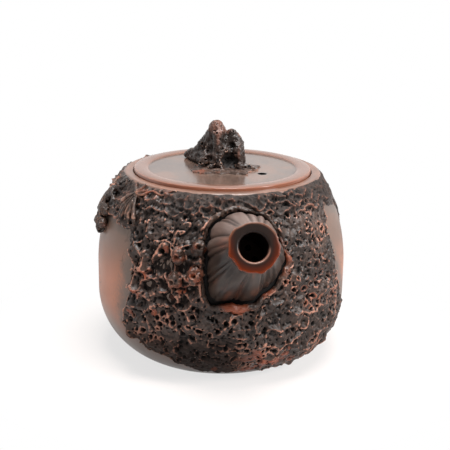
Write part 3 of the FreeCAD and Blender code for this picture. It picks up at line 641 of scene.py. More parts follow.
def tube(path, radii, reference, name, sides=12, closed=False):
    """A round tube along points in millimetres. The reference is a way that the path never follows."""
    path, radii = np.asarray(path, float), np.asarray(radii, float)
    last = len(path) - 1
    if closed:
        path, radii = np.vstack([path, path[:1]]), np.append(radii, radii[0])
        tangent = np.roll(path[:-1], -1, axis=0) - np.roll(path[:-1], 1, axis=0)
        tangent = np.vstack([tangent, tangent[:1]])
        last += 1
    else:
        tangent = np.gradient(path, axis=0)
    tangent /= np.linalg.norm(tangent, axis=1)[:, None]
    side = np.cross(tangent, reference)
    side /= np.linalg.norm(side, axis=1)[:, None]
    rise = np.cross(side, tangent)
    bm = bmesh.new()
    bmesh.ops.create_grid(bm, x_segments=last, y_segments=sides, size=0.5)
    for vert in bm.verts:
        station = round((vert.co.x + 0.5) * last)
        turn = 2 * math.pi * (vert.co.y + 0.5)
        spoke = math.cos(turn) * side[station] + math.sin(turn) * rise[station]
        vert.co = (path[station] + radii[station] * spoke) * MM
    bmesh.ops.remove_doubles(bm, verts=bm.verts, dist=WELD)
    bmesh.ops.holes_fill(bm, edges=[edge for edge in bm.edges if edge.is_boundary])
    return mesh_from(bm, name)


def pot_tube(path, radii, name):
    """A tube that lies along the wall."""
    out = path[len(path) // 2] * (1, 1, 0)
    return tube(path, radii, out / np.linalg.norm(out), name, 10)


def spline(points, count):
    """Smooth rows through the points, evenly spread over them."""
    points = np.asarray(points, float)
    ends = np.vstack([2 * points[0] - points[1], points, 2 * points[-1] - points[-2]])
    rows = []
    for spot in np.linspace(0, len(points) - 1, count):
        home = min(int(spot), len(points) - 2)
        part = spot - home
        before, start, finish, after = ends[home : home + 4]
        bend = 2 * before - 5 * start + 4 * finish - after + part * (3 * (start - finish) + after - before)
        rows.append(start + 0.5 * part * (finish - before + part * bend))
    return np.array(rows)


def fused_limbs(limbs, voxel, name):
    """One skin round limbs, each a list of points with radii, all in millimetres."""
    spacing, thinnest = 0.6, 0.3
    bm = bmesh.new()
    for limb in limbs:
        length = np.linalg.norm(np.diff(np.asarray(limb, float)[:, :3], axis=0), axis=1).sum()
        for row in spline(limb, max(4, int(length / spacing))):
            place = Matrix.Translation(Vector(row[:3]) * MM)
            bmesh.ops.create_icosphere(bm, subdivisions=2, radius=max(row[3], thinnest) * MM, matrix=place)
    mesh = changed(mesh_from(bm, name), "REMESH", mode="VOXEL", voxel_size=voxel * MM)
    mesh.shade_smooth()
    return mesh


def gnarl(mesh, strength, seed, stretch=(1.0, 1.0, 1.0), ridges=0.7):
    """Wears a mesh into knotted, pitted wood."""
    points = places(mesh)
    sway = np.stack([smooth_noise(points, 2.5, seed + axis) for axis in range(3)], axis=1)
    ridge = ridge_lines(points * stretch + 0.5 * sway, 1.8, seed + 5, 1.25) ** 2
    pit, rim = craters(points, 2.0, seed + 7, 0.35, 0.75, 0.5)
    rise = 0.5 * smooth_noise(points, 3.6, seed + 9) + ridges * (ridge - 0.4) + 0.2 * rim - 0.9 * pit
    rise += 0.2 * layered_noise(points, 1.1, seed + 11, 2)
    move_to(mesh, points + normals(mesh) * (strength * rise)[:, None])


# The pot's pieces


def wall_line(low, high, stand, count):
    """Points of radius and height along the wall between two heights."""
    radius, height, out, up = outline(np.linspace(along_at(low), along_at(high), count))
    return list(zip(radius + out * stand, height + up * stand))


def body_wall(material):
    """The bare wall, which knows how near the bark is."""
    outside = wall_line(0.0, RING_FOOT, 0.0, 120)
    inside = [spot for spot in wall_line(0.5, RING_FOOT, -WALL, 40) if spot[1] > FLOOR_HEIGHT]
    seat = FOOT_RADIUS - WALL
    floor = [(inside[0][0], FLOOR_HEIGHT), (seat, FLOOR_HEIGHT), (seat, 0.0)]
    mesh = lathe([*outside, *reversed(inside), *floor], "body_wall_bare")
    points = places(mesh)
    reach = bark_reach(azimuth_of(points), along_at(points[:, 2]))
    fade, spout_foot = 8.0, 19
    give(
        mesh,
        bark_near=np.exp(np.minimum(reach, 0) / fade),
        # Wall round the spout's root, which gets painted shade
        crevice=(across_spout(points)[0] < spout_foot) & (points[:, 1] < 0),
    )
    finished(mesh, material, "pot", "bare_clay", "body_wall")


def bark_quarter(name, start, cell, material, node):
    """A quarter of the bark: a fine grid over the wall, raised into relief and closed behind."""
    foot_gap, rim_gap, wear_depth = 1.2, 0.3, 0.24
    low, high = along_at(foot_gap), along_at(RIM_HEIGHT - rim_gap)
    columns = round(math.radians(BARK_QUARTER) * BELLY_RADIUS / cell)
    rows = round((high - low) / cell)

    def spread(flat):
        """Azimuths and lengths along the outline of places on the grid."""
        return start + flat[:, 0] * BARK_QUARTER, low + flat[:, 1] * (high - low)

    def numbers(flat):
        """Row numbers of places on the grid."""
        return np.rint(flat * (columns, rows)).astype(int) @ (rows + 1, 1)

    bm = bmesh.new()
    bmesh.ops.create_grid(bm, x_segments=columns, y_segments=rows, size=0.5)
    bm.verts.index_update()
    flat = np.array([vert.co[:2] for vert in bm.verts]) + 0.5
    surface = np.array(bark_relief(*spread(flat)))
    bare = surface[0] < BARK_SINK + 0.02
    unused = [face for face in bm.faces if all(bare[vert.index] for vert in face.verts)]
    surface[:, numbers(flat)] = surface.copy()
    bmesh.ops.delete(bm, geom=unused, context="FACES")
    raised = bmesh.ops.extrude_face_region(bm, geom=bm.faces[:])["geom"]
    tops = [item for item in raised if isinstance(item, bmesh.types.BMVert)]
    bmesh.ops.translate(bm, verts=tops, vec=(0, 0, 1))
    for edge in bm.edges:
        edge.smooth = len({all(vert.co.z > 0.5 for vert in face.verts) for face in edge.link_faces}) == 1
    mesh = mesh_from(bm, name)
    points = vertex_rows(mesh, "co")
    flat, outer = points[:, :2] + 0.5, points[:, 2] > 0.5
    relief, rusty, sooty, pits = surface[:, numbers(flat)]
    move_to(mesh, on_pot(*spread(flat), np.where(outer, relief, BARK_SINK - 0.5)))
    turn_outward(mesh)
    give_wear(mesh, wear_depth, round(0.5 / cell**2), outer)
    give(mesh, rusty=rusty, sooty=sooty, pits=pits)
    finished(mesh, material, "pot", "bark_clay", node)


def mouth_ring(material):
    """Ring with the lid's seat, rounded at its outer edge."""
    seat, mouth = LID_RADIUS + LID_PLAY, FLANGE_RADIUS + LID_PLAY
    rounding = 1.1
    edge = wall_line(RING_FOOT, RIM_HEIGHT - rounding, 0.0, 6)
    corner = arc(edge[-1][0] - rounding, RIM_HEIGHT - rounding, rounding, 20, 90, 8)
    inner = [(seat + 0.3, RIM_HEIGHT), (seat + 0.08, RIM_HEIGHT - 0.08), (seat, RIM_HEIGHT - 0.3)]
    line = [(mouth, RING_FOOT), *edge, *corner, *inner, (seat, LID_FOOT), (mouth, LID_FOOT)]
    finished(lathe(line, "mouth_ring_smooth"), material, "pot", "bare_clay", "mouth_ring")


def lip(material):
    """Rolled edge of the bark round the spout."""
    turn = np.linspace(-math.pi, math.pi, 361)[:-1]
    wobble = smooth_noise(ring_points(13, turn), 3.6, 401)
    tongue = bump(turn, -1.75, 0.34)
    path = round_the_spout(turn, opening_radius(turn) + 0.9, 0.9 + 0.5 * wobble + 0.5 * tongue)
    mesh = tube(path, 0.85 + 0.25 * wobble + 0.65 * tongue, SPOUT_AXIS, "spout_bark_lip_rolled", 28, True)
    gnarl(mesh, 0.45, 411)
    give_wear(mesh, 0.16)
    points = places(mesh)
    turn = across_spout(points)[1]
    rusty = bump(turn, -1.7, 0.35) + 0.9 * bump(turn, -0.9, 0.2) + 0.7 * bump(turn, 0.1, 0.45)
    give(mesh, rusty=0.1 + rusty + 0.2 * smooth_noise(points, 3, 421))
    finished(mesh, material, "pot", "rust_clay", "spout_bark_lip")


def flute_gap(turn, radius):
    """Distance from the nearest groove between the spout's flutes."""
    order = np.arange(FLUTES)
    grooves = 2 * math.pi * (order + 0.35 * np.sin(order * 2.4)) / FLUTES
    return np.abs((turn[:, None] - grooves + math.pi) % (2 * math.pi) - math.pi).min(axis=1) * radius


def spout(material):
    """Fluted spout with a wavy rusty collar at its tip and the pouring bore."""
    collar, neck, hollow = 8.25, 7.75, 7.2
    shoulder, bore_end, hollow_start, root = 1.6, 12.0, 23.0, 26.0
    lip_gap, sunk_root = 1.1, 2.5
    outer = [(neck, -step) for step in np.linspace(shoulder, root, 70)[::-1]]
    tip = [(collar - 0.1, -1.5), (collar, -1.2), (collar, -0.3), (collar - 0.1, -0.08), (collar - 0.3, 0.0)]
    face = [(radius, 0.0) for radius in np.linspace(collar - 0.8, POUR_RADIUS + 0.75, 8)]
    bevel = [(POUR_RADIUS + 0.45, -0.1), (POUR_RADIUS + 0.15, -0.4), (POUR_RADIUS, -0.9)]
    bore = [(POUR_RADIUS, -step) for step in np.linspace(1.5, bore_end, 8)]
    back_end = [(hollow, -hollow_start), (hollow, -root)]
    mesh = lathe([*outer, *tip, *face, *bevel, *bore, *back_end], "spout_fluted", 360)

    points = places(mesh)
    turn, back = np.arctan2(points[:, 1], points[:, 0]), -points[:, 2]
    upward = np.sin(turn)
    radius = np.hypot(points[:, 0], points[:, 1])
    outside = (radius > neck - 0.1) & (back > shoulder - 0.05)
    share = np.where(outside, np.clip((back - shoulder) / (root - shoulder), 0, 1), 0.0)
    swollen = np.sin(1.06 * math.pi / 2 * share)
    radius = np.where(outside, neck + (opening_radius(turn) - lip_gap - neck) * swollen, radius)
    length = SPOUT_LENGTH - SPOUT_SLANT * upward + sunk_root
    back = np.where(outside, shoulder + share * (length - shoulder), back)
    away = flute_gap(turn, radius)
    groove = bump(away, 0.0, 0.5) * ramp(1.2, 6.0, back) * outside
    swell = 0.3 * ramp(0.0, 1.6, away) * ramp(2.0, 9.0, back) * outside
    ring = ring_points(6, turn)
    chipped = 0.5 * smooth_noise(ring, 1.5, 432) * ramp(0.6, -0.3, upward)
    chipped += 0.5 * smooth_noise(ring, 2.4, 431)
    wave = chipped * ramp(6.6, 8.0, radius) * ramp(2.4, 1.0, back)
    radius += swell - 0.3 * groove + wave
    hem = 0.7 * smooth_noise(ring, 2.2, 433) * outside * ramp(0.4, 1.3, back) * ramp(4.0, 1.8, back)
    wide_ring = ring_points(10, turn)
    streak = smooth_noise(np.column_stack([wide_ring, 0.12 * back]), 1.5, 437)
    fine_streak = smooth_noise(np.column_stack([wide_ring, 0.15 * back]), 0.9, 438)
    rusty = 0.25 * ramp(0.3, 0.65, streak + 0.25 * np.sin(0.45 * back))
    rusty += bump(turn, 2.85, 0.25) * bump(back, 8, 5) * ramp(-0.5, 0.3, streak)
    rusty += 0.4 * bump(turn, -1.8, 0.05) * ramp(6, 12, back)
    give(
        mesh,
        groove=groove,
        outward=ramp(POUR_RADIUS + 0.8, collar - 0.2, radius),
        tip=ramp(2.0, 1.5, back + hem),
        hem=ramp(collar - 0.5, collar - 0.15, radius - wave),
        # Painted highlight on the lower half of the bore's rounded edge
        brim=bump(radius, POUR_RADIUS + 0.45, 0.3) * ramp(0.1, -0.5, upward) * (back < 1.0),
        rusty=rusty,
        streak=0.5 + 0.5 * fine_streak,
        # Underside share: the material paints the top lighter as a highlight and the tip rustier below
        under=ramp(0.8, -0.3, upward),
        # Share of the sunk end, which gets painted shade
        deep=ramp(0.82, 0.95, share),
        # Share inside the bore, which gets painted shade
        bore=ramp(POUR_RADIUS + 0.35, POUR_RADIUS, radius) * ramp(0.3, 1.2, back),
    )
    move_to(mesh, SPOUT_MOUTH + radius[:, None] * spout_spokes(turn) - (back + hem)[:, None] * SPOUT_AXIS)
    finished(mesh, material, "pot", "spout_clay", "spout")


def burls(material):
    """Small pressed burls beside the spout, each with a hole."""
    meshes = []
    for place, (azimuth, height, radius) in enumerate(BURLS):
        middle = pot_points([(azimuth, height)], 1.7)[0]
        out = pot_points([(azimuth, height)], 2.7)[0] - middle
        bm = bmesh.new()
        bmesh.ops.create_icosphere(bm, subdivisions=5, radius=1.0)
        mesh = mesh_from(bm, "burl")
        way = vertex_rows(mesh, "co")
        grain = way * 1.6 + 7 * place
        lump = 1 + 0.22 * smooth_noise(grain, 0.8, 441) + 0.1 * smooth_noise(grain, 0.3, 443)
        lump *= 1 + 0.25 * np.abs(way[:, 2])
        aim = out + np.array((0.25 - 0.2 * place, 0, 0.3 * (-1) ** place))
        hole = ramp(0.9, 0.975, way @ aim / np.linalg.norm(aim))
        move_to(mesh, middle + way * (radius * lump * (1 - 0.75 * hole))[:, None])
        meshes.append(mesh)
    mesh = merged(meshes, "bark_burls_pressed")
    give_wear(mesh, 0.25, 6)
    give(mesh, rusty=0.5 + 0.35 * smooth_noise(places(mesh), 1.6, 445))
    finished(mesh, material, "pot", "rust_clay", "bark_burls")


def branch(material):
    """Branch that droops over the left shoulder and curls up at its end, from azimuths, heights and radii."""
    spots = [(-74, 66.5), (-80, 63.5), (-87, 60.0), (-91, 56.5), (-90, 52.5), (-84, 49.0)]
    parts = [
        (spots, 0.9, (1.2, 1.6, 1.9, 2.1, 2.4, 2.2)),
        ([(-86, 55.0), (-80, 55.2)], 1.7, (2.0, 1.8)),
        ([(-86, 50.5), (-79, 51.0)], 1.7, (2.2, 1.9)),
        ([(-95, 57), (-98, 53)], 1.0, (1.4, 1.0)),
        ([(-82, 62.5), (-76, 60)], 1.8, (1.5, 0.9)),
    ]
    limbs = [np.column_stack([pot_points(line, stand), radii]) for line, stand, radii in parts]
    mesh = fused_limbs(limbs, 0.28, "pine_branch_carved")
    gnarl(mesh, 0.9, 451, UPRIGHT_GRAIN)
    points = places(mesh)
    pits = ramp(0.3, 0.55, smooth_noise(points, 1.7, 463))
    move_to(mesh, points - 0.7 * pits[:, None] * normals(mesh))
    give_wear(mesh, 0.2)
    # Pits get painted shade in the clay
    give(mesh, pits=0.8 * pits, rusty=0.15 + 0.5 * smooth_noise(points, 3, 461))
    finished(mesh, material, "pot", "rust_clay", "pine_branch")


def needle_fan(node, azimuth, height, leans, length, twigs, material):
    """Fan of needles, narrow at their join and blunt at their tips, with twigs above it."""
    meshes = []
    share = np.linspace(0, 1, 15)
    radii = (0.36 + 0.42 * ramp(0.1, 0.75, share)) * (1 - 0.65 * ramp(0.75, 1.0, share))
    for place, lean in enumerate(np.radians(leans)):
        reach = length * (1 - 0.18 * ((place * 7) % 3) / 2)
        drop = height - share * reach * math.cos(lean)
        turn = azimuth - np.degrees(share * reach * math.sin(lean) / BELLY_RADIUS)
        stand = 1.7 + 0.5 * np.sin(math.pi * share) + 0.3 * (place % 2)
        meshes.append(pot_tube(on_pot(turn, along_at(drop), stand), radii, "needle"))
    needles = sum(len(mesh.vertices) for mesh in meshes)
    rows = 13
    for turn, level in twigs:
        far = abs(turn - azimuth)
        middle = ((azimuth + turn) / 2, (height + level) / 2)
        spots = spline([(azimuth, height), middle, (turn, level)], rows)
        spots[:, 1] -= 0.025 * far * np.sin(np.linspace(0, 0.5 * far, rows))
        path = pot_points(spots, np.linspace(1.7, 0.7, rows))
        meshes.append(pot_tube(path, (1 - 0.018 * far) * np.linspace(0.95, 0.45, rows), "twig"))
    mesh = merged(meshes, f"{node}_carved")
    gnarl(mesh, 0.16, 465)
    give_wear(mesh, 0.22)
    points = places(mesh)
    plain = np.where(np.arange(len(points)) < needles, 0.1, 0.5)
    give(mesh, rusty=plain + 0.3 * smooth_noise(points, 2.5, 467))
    finished(mesh, material, "pot", "rust_clay", node)


def handle(material):
    """Ear handle worn like a branch: two arcs that meet at its outermost point."""
    reach, middle, upper, lower = 75.0, 37.0, 20.3, 23.5
    thickness, rows = 4.3, 260
    line = arc(reach - upper, middle, upper, 136.4, 0, 60)
    line += arc(reach - lower, middle, lower, 0, -119.3, 60)[1:]
    path = spline([(0.0, back, height) for back, height in line], rows)
    share = np.linspace(0, 1, len(line))
    radii = np.interp(np.linspace(0, 1, rows), share, thickness + 0.5 * np.abs(2 * share - 1) ** 2)
    mesh = tube(path, radii, (1.0, 0.0, 0.0), "handle_carved", 72)
    gnarl(mesh, 0.75, 471, (1.0, 0.6, 0.6))
    give_wear(mesh, 0.25)
    give(mesh, rusty=0.2 + 0.4 * smooth_noise(places(mesh), 6, 481))
    finished(mesh, material, "pot", "bark_clay", "handle")


# The lid's pieces


def lid_plate(material):
    """Lid with a rounded border, a sunk disc and an air hole."""
    width = 5.4
    inner = LID_RADIUS - width
    middle = LID_RADIUS - width / 2
    rise = 0.9 * (LID_TOP - LID_DISC)
    turns = np.radians(np.linspace(20, 168, 20))
    crown = [(middle + width / 2 * math.cos(turn), LID_DISC + rise * math.sin(turn) ** 0.8) for turn in turns]
    edge = [(LID_RADIUS - 0.3, LID_FOOT), (LID_RADIUS, LID_FOOT + 0.3), (LID_RADIUS, LID_DISC - 0.1)]
    disc = [(inner - 0.2, LID_DISC), (0, LID_DISC)]
    plate = lathe([(0, LID_FOOT), *edge, *crown, *disc], "lid_plate_smooth")
    bm = bmesh.new()
    place = Matrix.Translation((*(VENT * MM), LID_DISC * MM))
    size = VENT_RADIUS * MM
    bmesh.ops.create_cone(
        bm, cap_ends=True, segments=48, radius1=size, radius2=size, depth=12 * MM, matrix=place
    )
    drill = shown("drill", mesh_from(bm, "drill"))
    mesh = changed(plate, "BOOLEAN", operation="DIFFERENCE", solver="EXACT", object=drill)
    bpy.data.objects.remove(drill)
    mesh.shade_smooth()
    mesh.set_sharp_from_angle(angle=SHARP_CORNER)
    points = places(mesh)
    radius = np.hypot(points[:, 0], points[:, 1])
    rubbed = ramp(LID_RADIUS - 0.9, LID_RADIUS - 0.1, radius) + 0.3 * bump(radius, inner + 0.3, 0.35)
    give(mesh, border=ramp(inner - 0.3, inner + 0.5, radius), edge=rubbed)
    finished(mesh, material, "lid", "lid_clay", "lid_plate")


def knob_point(right, near, up):
    """A point on the knob, counted from the lid's disc as the photograph sees it."""
    turn = math.radians(CAMERA_AZIMUTH)
    return (
        right * math.cos(turn) + near * math.sin(turn),
        right * math.sin(turn) - near * math.cos(turn),
        LID_DISC + up,
    )


def knob(material):
    """Gnarled stem that leans to the left, with a broken second stem and roots.

    Limbs are rows of right, near, up and radius, hollows of right, near, up, radius and depth.
    """
    stem = [(0.0, -0.8, 0.0, 5.8), (-0.3, -1.0, 4.0, 5.2), (-1.0, -1.3, 8.0, 4.3), (-1.8, -1.5, 12.0, 3.3)]
    tail = [(-2.4, -1.8, 12.4, 3.1), (-4.6, -4.0, 9.8, 3.1), (-6.6, -7.0, 7.4, 2.8), (-9.2, -10.5, 4.4, 2.1)]
    limbs = [
        [*stem, (-2.1, -1.5, 14.8, 2.9)],
        [*tail, (-12.0, -14.0, 2.4, 1.5), (-14.0, -16.5, 1.4, 1.2)],
        [(-3.2, -3.6, 2.4, 4.8), (-6.6, -7.6, 2.0, 3.8), (-12.5, -14.5, 0.4, 1.4)],
        [(4.0, -1.2, 0.0, 4.2), (4.4, -1.2, 5.0, 3.9), (4.2, -1.4, 9.0, 3.3), (3.2, -1.8, 12.2, 2.4)],
        [(7.2, 1.5, 0.0, 1.3), (6.6, 1.2, 4.0, 1.5), (6.2, 0.8, 8.0, 1.5), (4.8, 0.0, 11.0, 1.5)],
        [(-1.4, 0.8, 13.0, 2.2), (-1.6, 1.8, 10.0, 2.0), (-2.0, 2.6, 7.0, 1.8), (-4.6, 4.4, 1.2, 1.2)],
        [(-1.6, 2.4, 6.5, 1.4), (-0.8, 4.0, 3.0, 1.1), (-0.4, 5.6, 0.6, 1.0)],
        [(-4.4, -1.0, 7.5, 2.0), (-6.4, 1.0, 3.6, 1.5), (-8.4, 2.4, 0.8, 1.2)],
        [(5.2, 1.4, 8.5, 1.7), (5.9, 2.2, 4.0, 1.5), (6.6, 3.2, 0.6, 1.3)],
        [(6.0, 0.5, 0.6, 2.0), (9.5, 1.5, 0.4, 1.3), (12.6, 2.4, 0.3, 0.8)],
        [(1.0, -4.0, 0.6, 3.4), (2.0, -8.0, 0.6, 2.2), (2.6, -11.0, 0.4, 1.2)],
    ]
    hollows = [
        (2.4, 4.0, 3.6, 2.7, 2.4), (3.2, 2.2, 9.0, 1.2, 1.3), (-5.2, 1.6, 7.4, 1.5, 1.2),
        (-4.4, 3.4, 3.6, 1.8, 1.4), (1.0, 2.6, 10.0, 1.0, 0.8), (-9.4, -5.4, 3.2, 1.4, 0.8),
    ]
    placed = [[(*knob_point(*row[:3]), row[3]) for row in limb] for limb in limbs]
    mesh = changed(fused_limbs(placed, 0.26, "knob_carved"), "SMOOTH", factor=0.5, iterations=14)
    points = places(mesh)
    scoop = np.zeros(len(points))
    for *place, radius, depth in hollows:
        gap = np.linalg.norm(points - np.array(knob_point(*place)), axis=1)
        scoop = np.maximum(scoop, depth * np.exp(-((gap / radius) ** 4)))
    move_to(mesh, points - normals(mesh) * scoop[:, None])
    gnarl(mesh, 1.0, 501, UPRIGHT_GRAIN, 0.35)
    points = places(mesh)
    pit, rim = craters(points, 1.5, 505, 0.3, 0.5, 0.75)
    points += normals(mesh) * (0.12 * rim - 0.7 * pit)[:, None]
    points[:, 2] = np.maximum(points[:, 2], LID_DISC + 0.12)
    move_to(mesh, points)
    give_wear(mesh, 0.22)
    up = points[:, 2] - LID_DISC
    right = points @ np.array(knob_point(1.0, 0.0, -LID_DISC))
    ridges = 0.7 * bump(right, -1.6, 1.3) * ramp(4, 8, up) + 0.6 * bump(right, 6.2, 1.2) * ramp(2, 6, up)
    rusty = 0.8 * ramp(11, 14, up) + ridges + 0.4 * smooth_noise(points, 2.5, 511) - 0.1
    # Pits and the hollows' depth get painted shade in the clay
    give(mesh, pits=np.maximum(pit, np.clip(0.5 * scoop, 0, 0.9)), rusty=rusty)
    finished(mesh, material, "lid", "bark_clay", "knob")


def knob_skirt(material):
    """Ragged scrap of bark under the knob."""
    inner, outer, thickness = 2, 11.4, 0.5
    top = LID_DISC + thickness
    foot = [(0, LID_DISC), *[(radius, LID_DISC) for radius in np.linspace(inner, outer - 0.4, 12)]]
    lid_side = [*foot, (outer + 0.2, LID_DISC + 0.1)]
    upper = [(radius, top) for radius in np.linspace(outer, inner, 40)]
    mesh = lathe([*lid_side, *upper, (0, top)], "knob_skirt_ragged", 300)
    points = places(mesh)
    radius = np.hypot(points[:, 0], points[:, 1])
    ring = ring_points(9, np.arctan2(points[:, 1], points[:, 0]))
    ragged = 1 + 0.26 * smooth_noise(ring, 4.5, 521) + 0.2 * smooth_noise(ring, 1.6, 522)
    over = points[:, 2] > LID_DISC + 0.3
    lumps = np.clip(0.1 + 0.5 * layered_noise(points[:, :2], 3.0, 523, 3), -0.35, 1.0)
    points[:, :2] *= ragged[:, None]
    points[:, 2] += over * lumps * ramp(outer, 8.0, radius)
    move_to(mesh, points)
    give_wear(mesh, 0.6)
    give(mesh, rusty=0.15 + 0.6 * smooth_noise(points, 3.0, 525) - 0.3 * ramp(3, 9, points[:, 0]))
    finished(mesh, material, "lid", "bark_clay", "knob_skirt")


# Materials


def colour(code):
    """Linear colour with full alpha from a hex code as seen on screen."""
    parts = [int(code[i : i + 2], 16) / 255 for i in (1, 3, 5)]
    return (*[part / 12.92 if part < 0.04045 else ((part + 0.055) / 1.055) ** 2.4 for part in parts], 1.0)


class Nodes:
    """Short ways to add to a node tree. A text as an input is a hex colour or names a stored value."""

    def __init__(self, tree):
        self.tree = tree

    def put(self, socket, value):
        """Links or sets one input."""
        if isinstance(value, str):
            value = colour(value) if value.startswith("#") else self.stored(value)
        if isinstance(value, bpy.types.NodeSocket):
            self.tree.links.new(value, socket)
        else:
            socket.default_value = value

    def add(self, kind, inputs=None, **settings):
        """Adds a node, sets its properties, and sets or links its inputs."""
        node = self.tree.nodes.new(f"ShaderNode{kind}")
        for name, value in settings.items():
            setattr(node, name, value)
        for name, value in (inputs or {}).items():
            self.put(node.inputs[name], value)
        return node

    def stored(self, name):
        """Output of a stored vertex value."""
        return self.add("Attribute", attribute_name=name).outputs["Fac"]

    def place(self):
        """Output of the place on the piece, in metres."""
        return self.add("TexCoord").outputs["Object"]

    def mix(self, share, first, second):
        """Output of a colour mix."""
        return self.add("Mix", {0: share, 6: first, 7: second}, data_type="RGBA").outputs[2]

    def step(self, value, low, high, to_low=0.0, to_high=1.0):
        """Output of a soft step of a value from one span to another."""
        inputs = {"Value": value, "From Min": low, "From Max": high, "To Min": to_low, "To Max": to_high}
        return self.add("MapRange", inputs, interpolation_type="SMOOTHSTEP").outputs["Result"]

    def maths(self, operation, first, second):
        """Output of a sum on two values."""
        return self.add("Math", {0: first, 1: second}, operation=operation).outputs[0]

    def times(self, first, second):
        """Output of a product."""
        return self.maths("MULTIPLY", first, second)

    def largest(self, *values):
        """Output of the largest of several values."""
        most = values[0]
        for value in values[1:]:
            most = self.maths("MAXIMUM", most, value)
        return most

    def vector(self, operation, *values):
        """Node of a sum on vectors."""
        return self.add("VectorMath", dict(enumerate(values)), operation=operation)

    def noise(self, place, scale, detail):
        """Outputs of soft noise."""
        return self.add("TexNoise", {"Vector": place, "Scale": scale, "Detail": detail}).outputs

    def seen_rays(self):
        """Outputs of the kinds of rays, and of those that see the background."""
        rays = self.add("LightPath").outputs
        return rays, self.largest(rays["Is Camera Ray"], rays["Is Glossy Ray"], rays["Is Transmission Ray"])


def clay_grain():
    """Shared clay texture: fine grain, broad clouds, the two together about zero, and scattered pores."""
    group = bpy.data.node_groups.new("clay_grain", "ShaderNodeTree")
    for name in ("Fine", "Broad", "Stir", "Pore"):
        group.interface.new_socket(name, in_out="OUTPUT", socket_type="NodeSocketFloat")
    nodes = Nodes(group)
    place = nodes.place()
    fine = nodes.noise(place, 1100.0, 3.0)["Fac"]
    broad = nodes.noise(place, 80.0, 3.0)["Fac"]
    stir = nodes.maths("SUBTRACT", nodes.maths("ADD", fine, broad), 1.0)
    pore = nodes.add("TexVoronoi", {"Vector": place, "Scale": 430.0}).outputs["Distance"]
    pore = nodes.times(nodes.step(pore, 0.3, 0.14), nodes.step(broad, 0.46, 0.58))
    ends = group.nodes.new("NodeGroupOutput").inputs
    for name, value in {"Fine": fine, "Broad": broad, "Stir": stir, "Pore": pore}.items():
        nodes.put(ends[name], value)
    return group


def new_clay(name, grain):
    """A material, its nodes and the outputs of the shared grain."""
    material = bpy.data.materials.new(name)
    material.use_nodes = True
    nodes = Nodes(material.node_tree)
    return material, nodes, nodes.add("Group", node_tree=grain).outputs


def finish_clay(nodes, clay, roughness, gloss, height, strength, depth):
    """Gives a clay its colour, roughness and gloss, and a bump of a depth in millimetres."""
    shader = nodes.tree.nodes["Principled BSDF"]
    nodes.put(shader.inputs["Base Color"], clay)
    nodes.put(shader.inputs["Roughness"], roughness)
    shader.inputs["Specular IOR Level"].default_value = gloss
    relief = nodes.add("Bump", {"Height": height, "Strength": strength, "Distance": depth * MM})
    nodes.put(shader.inputs["Normal"], relief.outputs["Normal"])


def worn_clay(name, grain, dark, plain, crest, rust):
    """Rough clay with painted shade in its hollows, pits and pores and in the bark's shaded places, worn pale
    along its crests with a painted highlight there, and rusty in places.
    """
    material, nodes, cloud = new_clay(name, grain)
    stir = nodes.times(cloud["Stir"], 0.5)
    patch = nodes.step(cloud["Broad"], 0.3, 0.7, -0.25, 0.25)
    crests = nodes.maths("ADD", nodes.maths("ADD", "crest", cloud["Stir"]), patch)
    # Wear and painted highlight: share of the pale crest colour
    worn = nodes.step(crests, 0.7, 1.4, 0.0, 0.95)
    # Painted shade: hollows, pits and pores turn near black
    sunk = nodes.step(nodes.maths("ADD", "hollow", stir), 0.1, 0.8)
    sunk = nodes.largest(sunk, "pits", cloud["Pore"])
    rusty = nodes.step(nodes.maths("ADD", "rusty", stir), 0.35, 0.9)
    clay = nodes.mix(nodes.step(cloud["Stir"], -0.25, 0.25), dark, plain)
    clay = nodes.mix(nodes.times(rusty, 0.7), clay, rust)
    clay = nodes.mix(worn, clay, nodes.mix(rusty, crest, rust))
    # Painted shade: first the bark's shaded places, then the hollows, pits and pores
    clay = nodes.mix(sunk, nodes.mix("sooty", clay, SOOT), SHADE)
    satin = nodes.step(cloud["Fine"], 0.3, 0.7, 0.28, 0.46)
    roughness = nodes.largest(satin, sunk, nodes.times("sooty", 1.6))
    finish_clay(nodes, clay, roughness, 0.4, nodes.maths("SUBTRACT", cloud["Fine"], cloud["Pore"]), 0.7, 0.4)
    return material


def bare_clay(grain):
    """Smooth rust clay that darkens towards the bark, the foot and the shoulder, with hairline cracks and
    painted shade on the wall round the spout's root.
    """
    material, nodes, cloud = new_clay("bare_clay", grain)
    place = nodes.place()
    level = nodes.add("SeparateXYZ", {0: place}).outputs["Z"]
    by_bark = nodes.step(nodes.maths("ADD", "bark_near", nodes.times(cloud["Stir"], 0.4)), 0.12, 0.85)
    by_foot = nodes.step(level, 6 * MM, 30 * MM, 0.95, 0.0)
    by_shoulder = nodes.step(level, 30 * MM, 50 * MM, 0.0, 0.9)
    clay = nodes.mix(nodes.largest(by_bark, by_foot, by_shoulder), "#a06547", "#605148")
    clay = nodes.mix(nodes.step(level, 24 * MM, 8 * MM), clay, "#4a3a31")
    sway = nodes.vector("SUBTRACT", nodes.noise(place, 140.0, 2.0)["Color"], (0.5, 0.5, 0.5)).outputs[0]
    swayed = nodes.vector("MULTIPLY_ADD", sway, (12 * MM, 12 * MM, 12 * MM), place).outputs[0]
    crack = nodes.add("TexVoronoi", {"Vector": swayed, "Scale": 75.0}, feature="DISTANCE_TO_EDGE")
    hair = nodes.step(crack.outputs["Distance"], 0.018, 0.006, 0.0, 0.5)
    clay = nodes.mix(nodes.times(hair, nodes.step(cloud["Broad"], 0.46, 0.6)), clay, "#2a1d18")
    satin = nodes.step(cloud["Broad"], 0.3, 0.7, 0.36, 0.46)
    roughness = nodes.largest(satin, "crevice")
    # Painted shade round the spout's root
    finish_clay(nodes, nodes.mix("crevice", clay, SHADE), roughness, 0.5, cloud["Fine"], 0.12, 0.2)
    return material


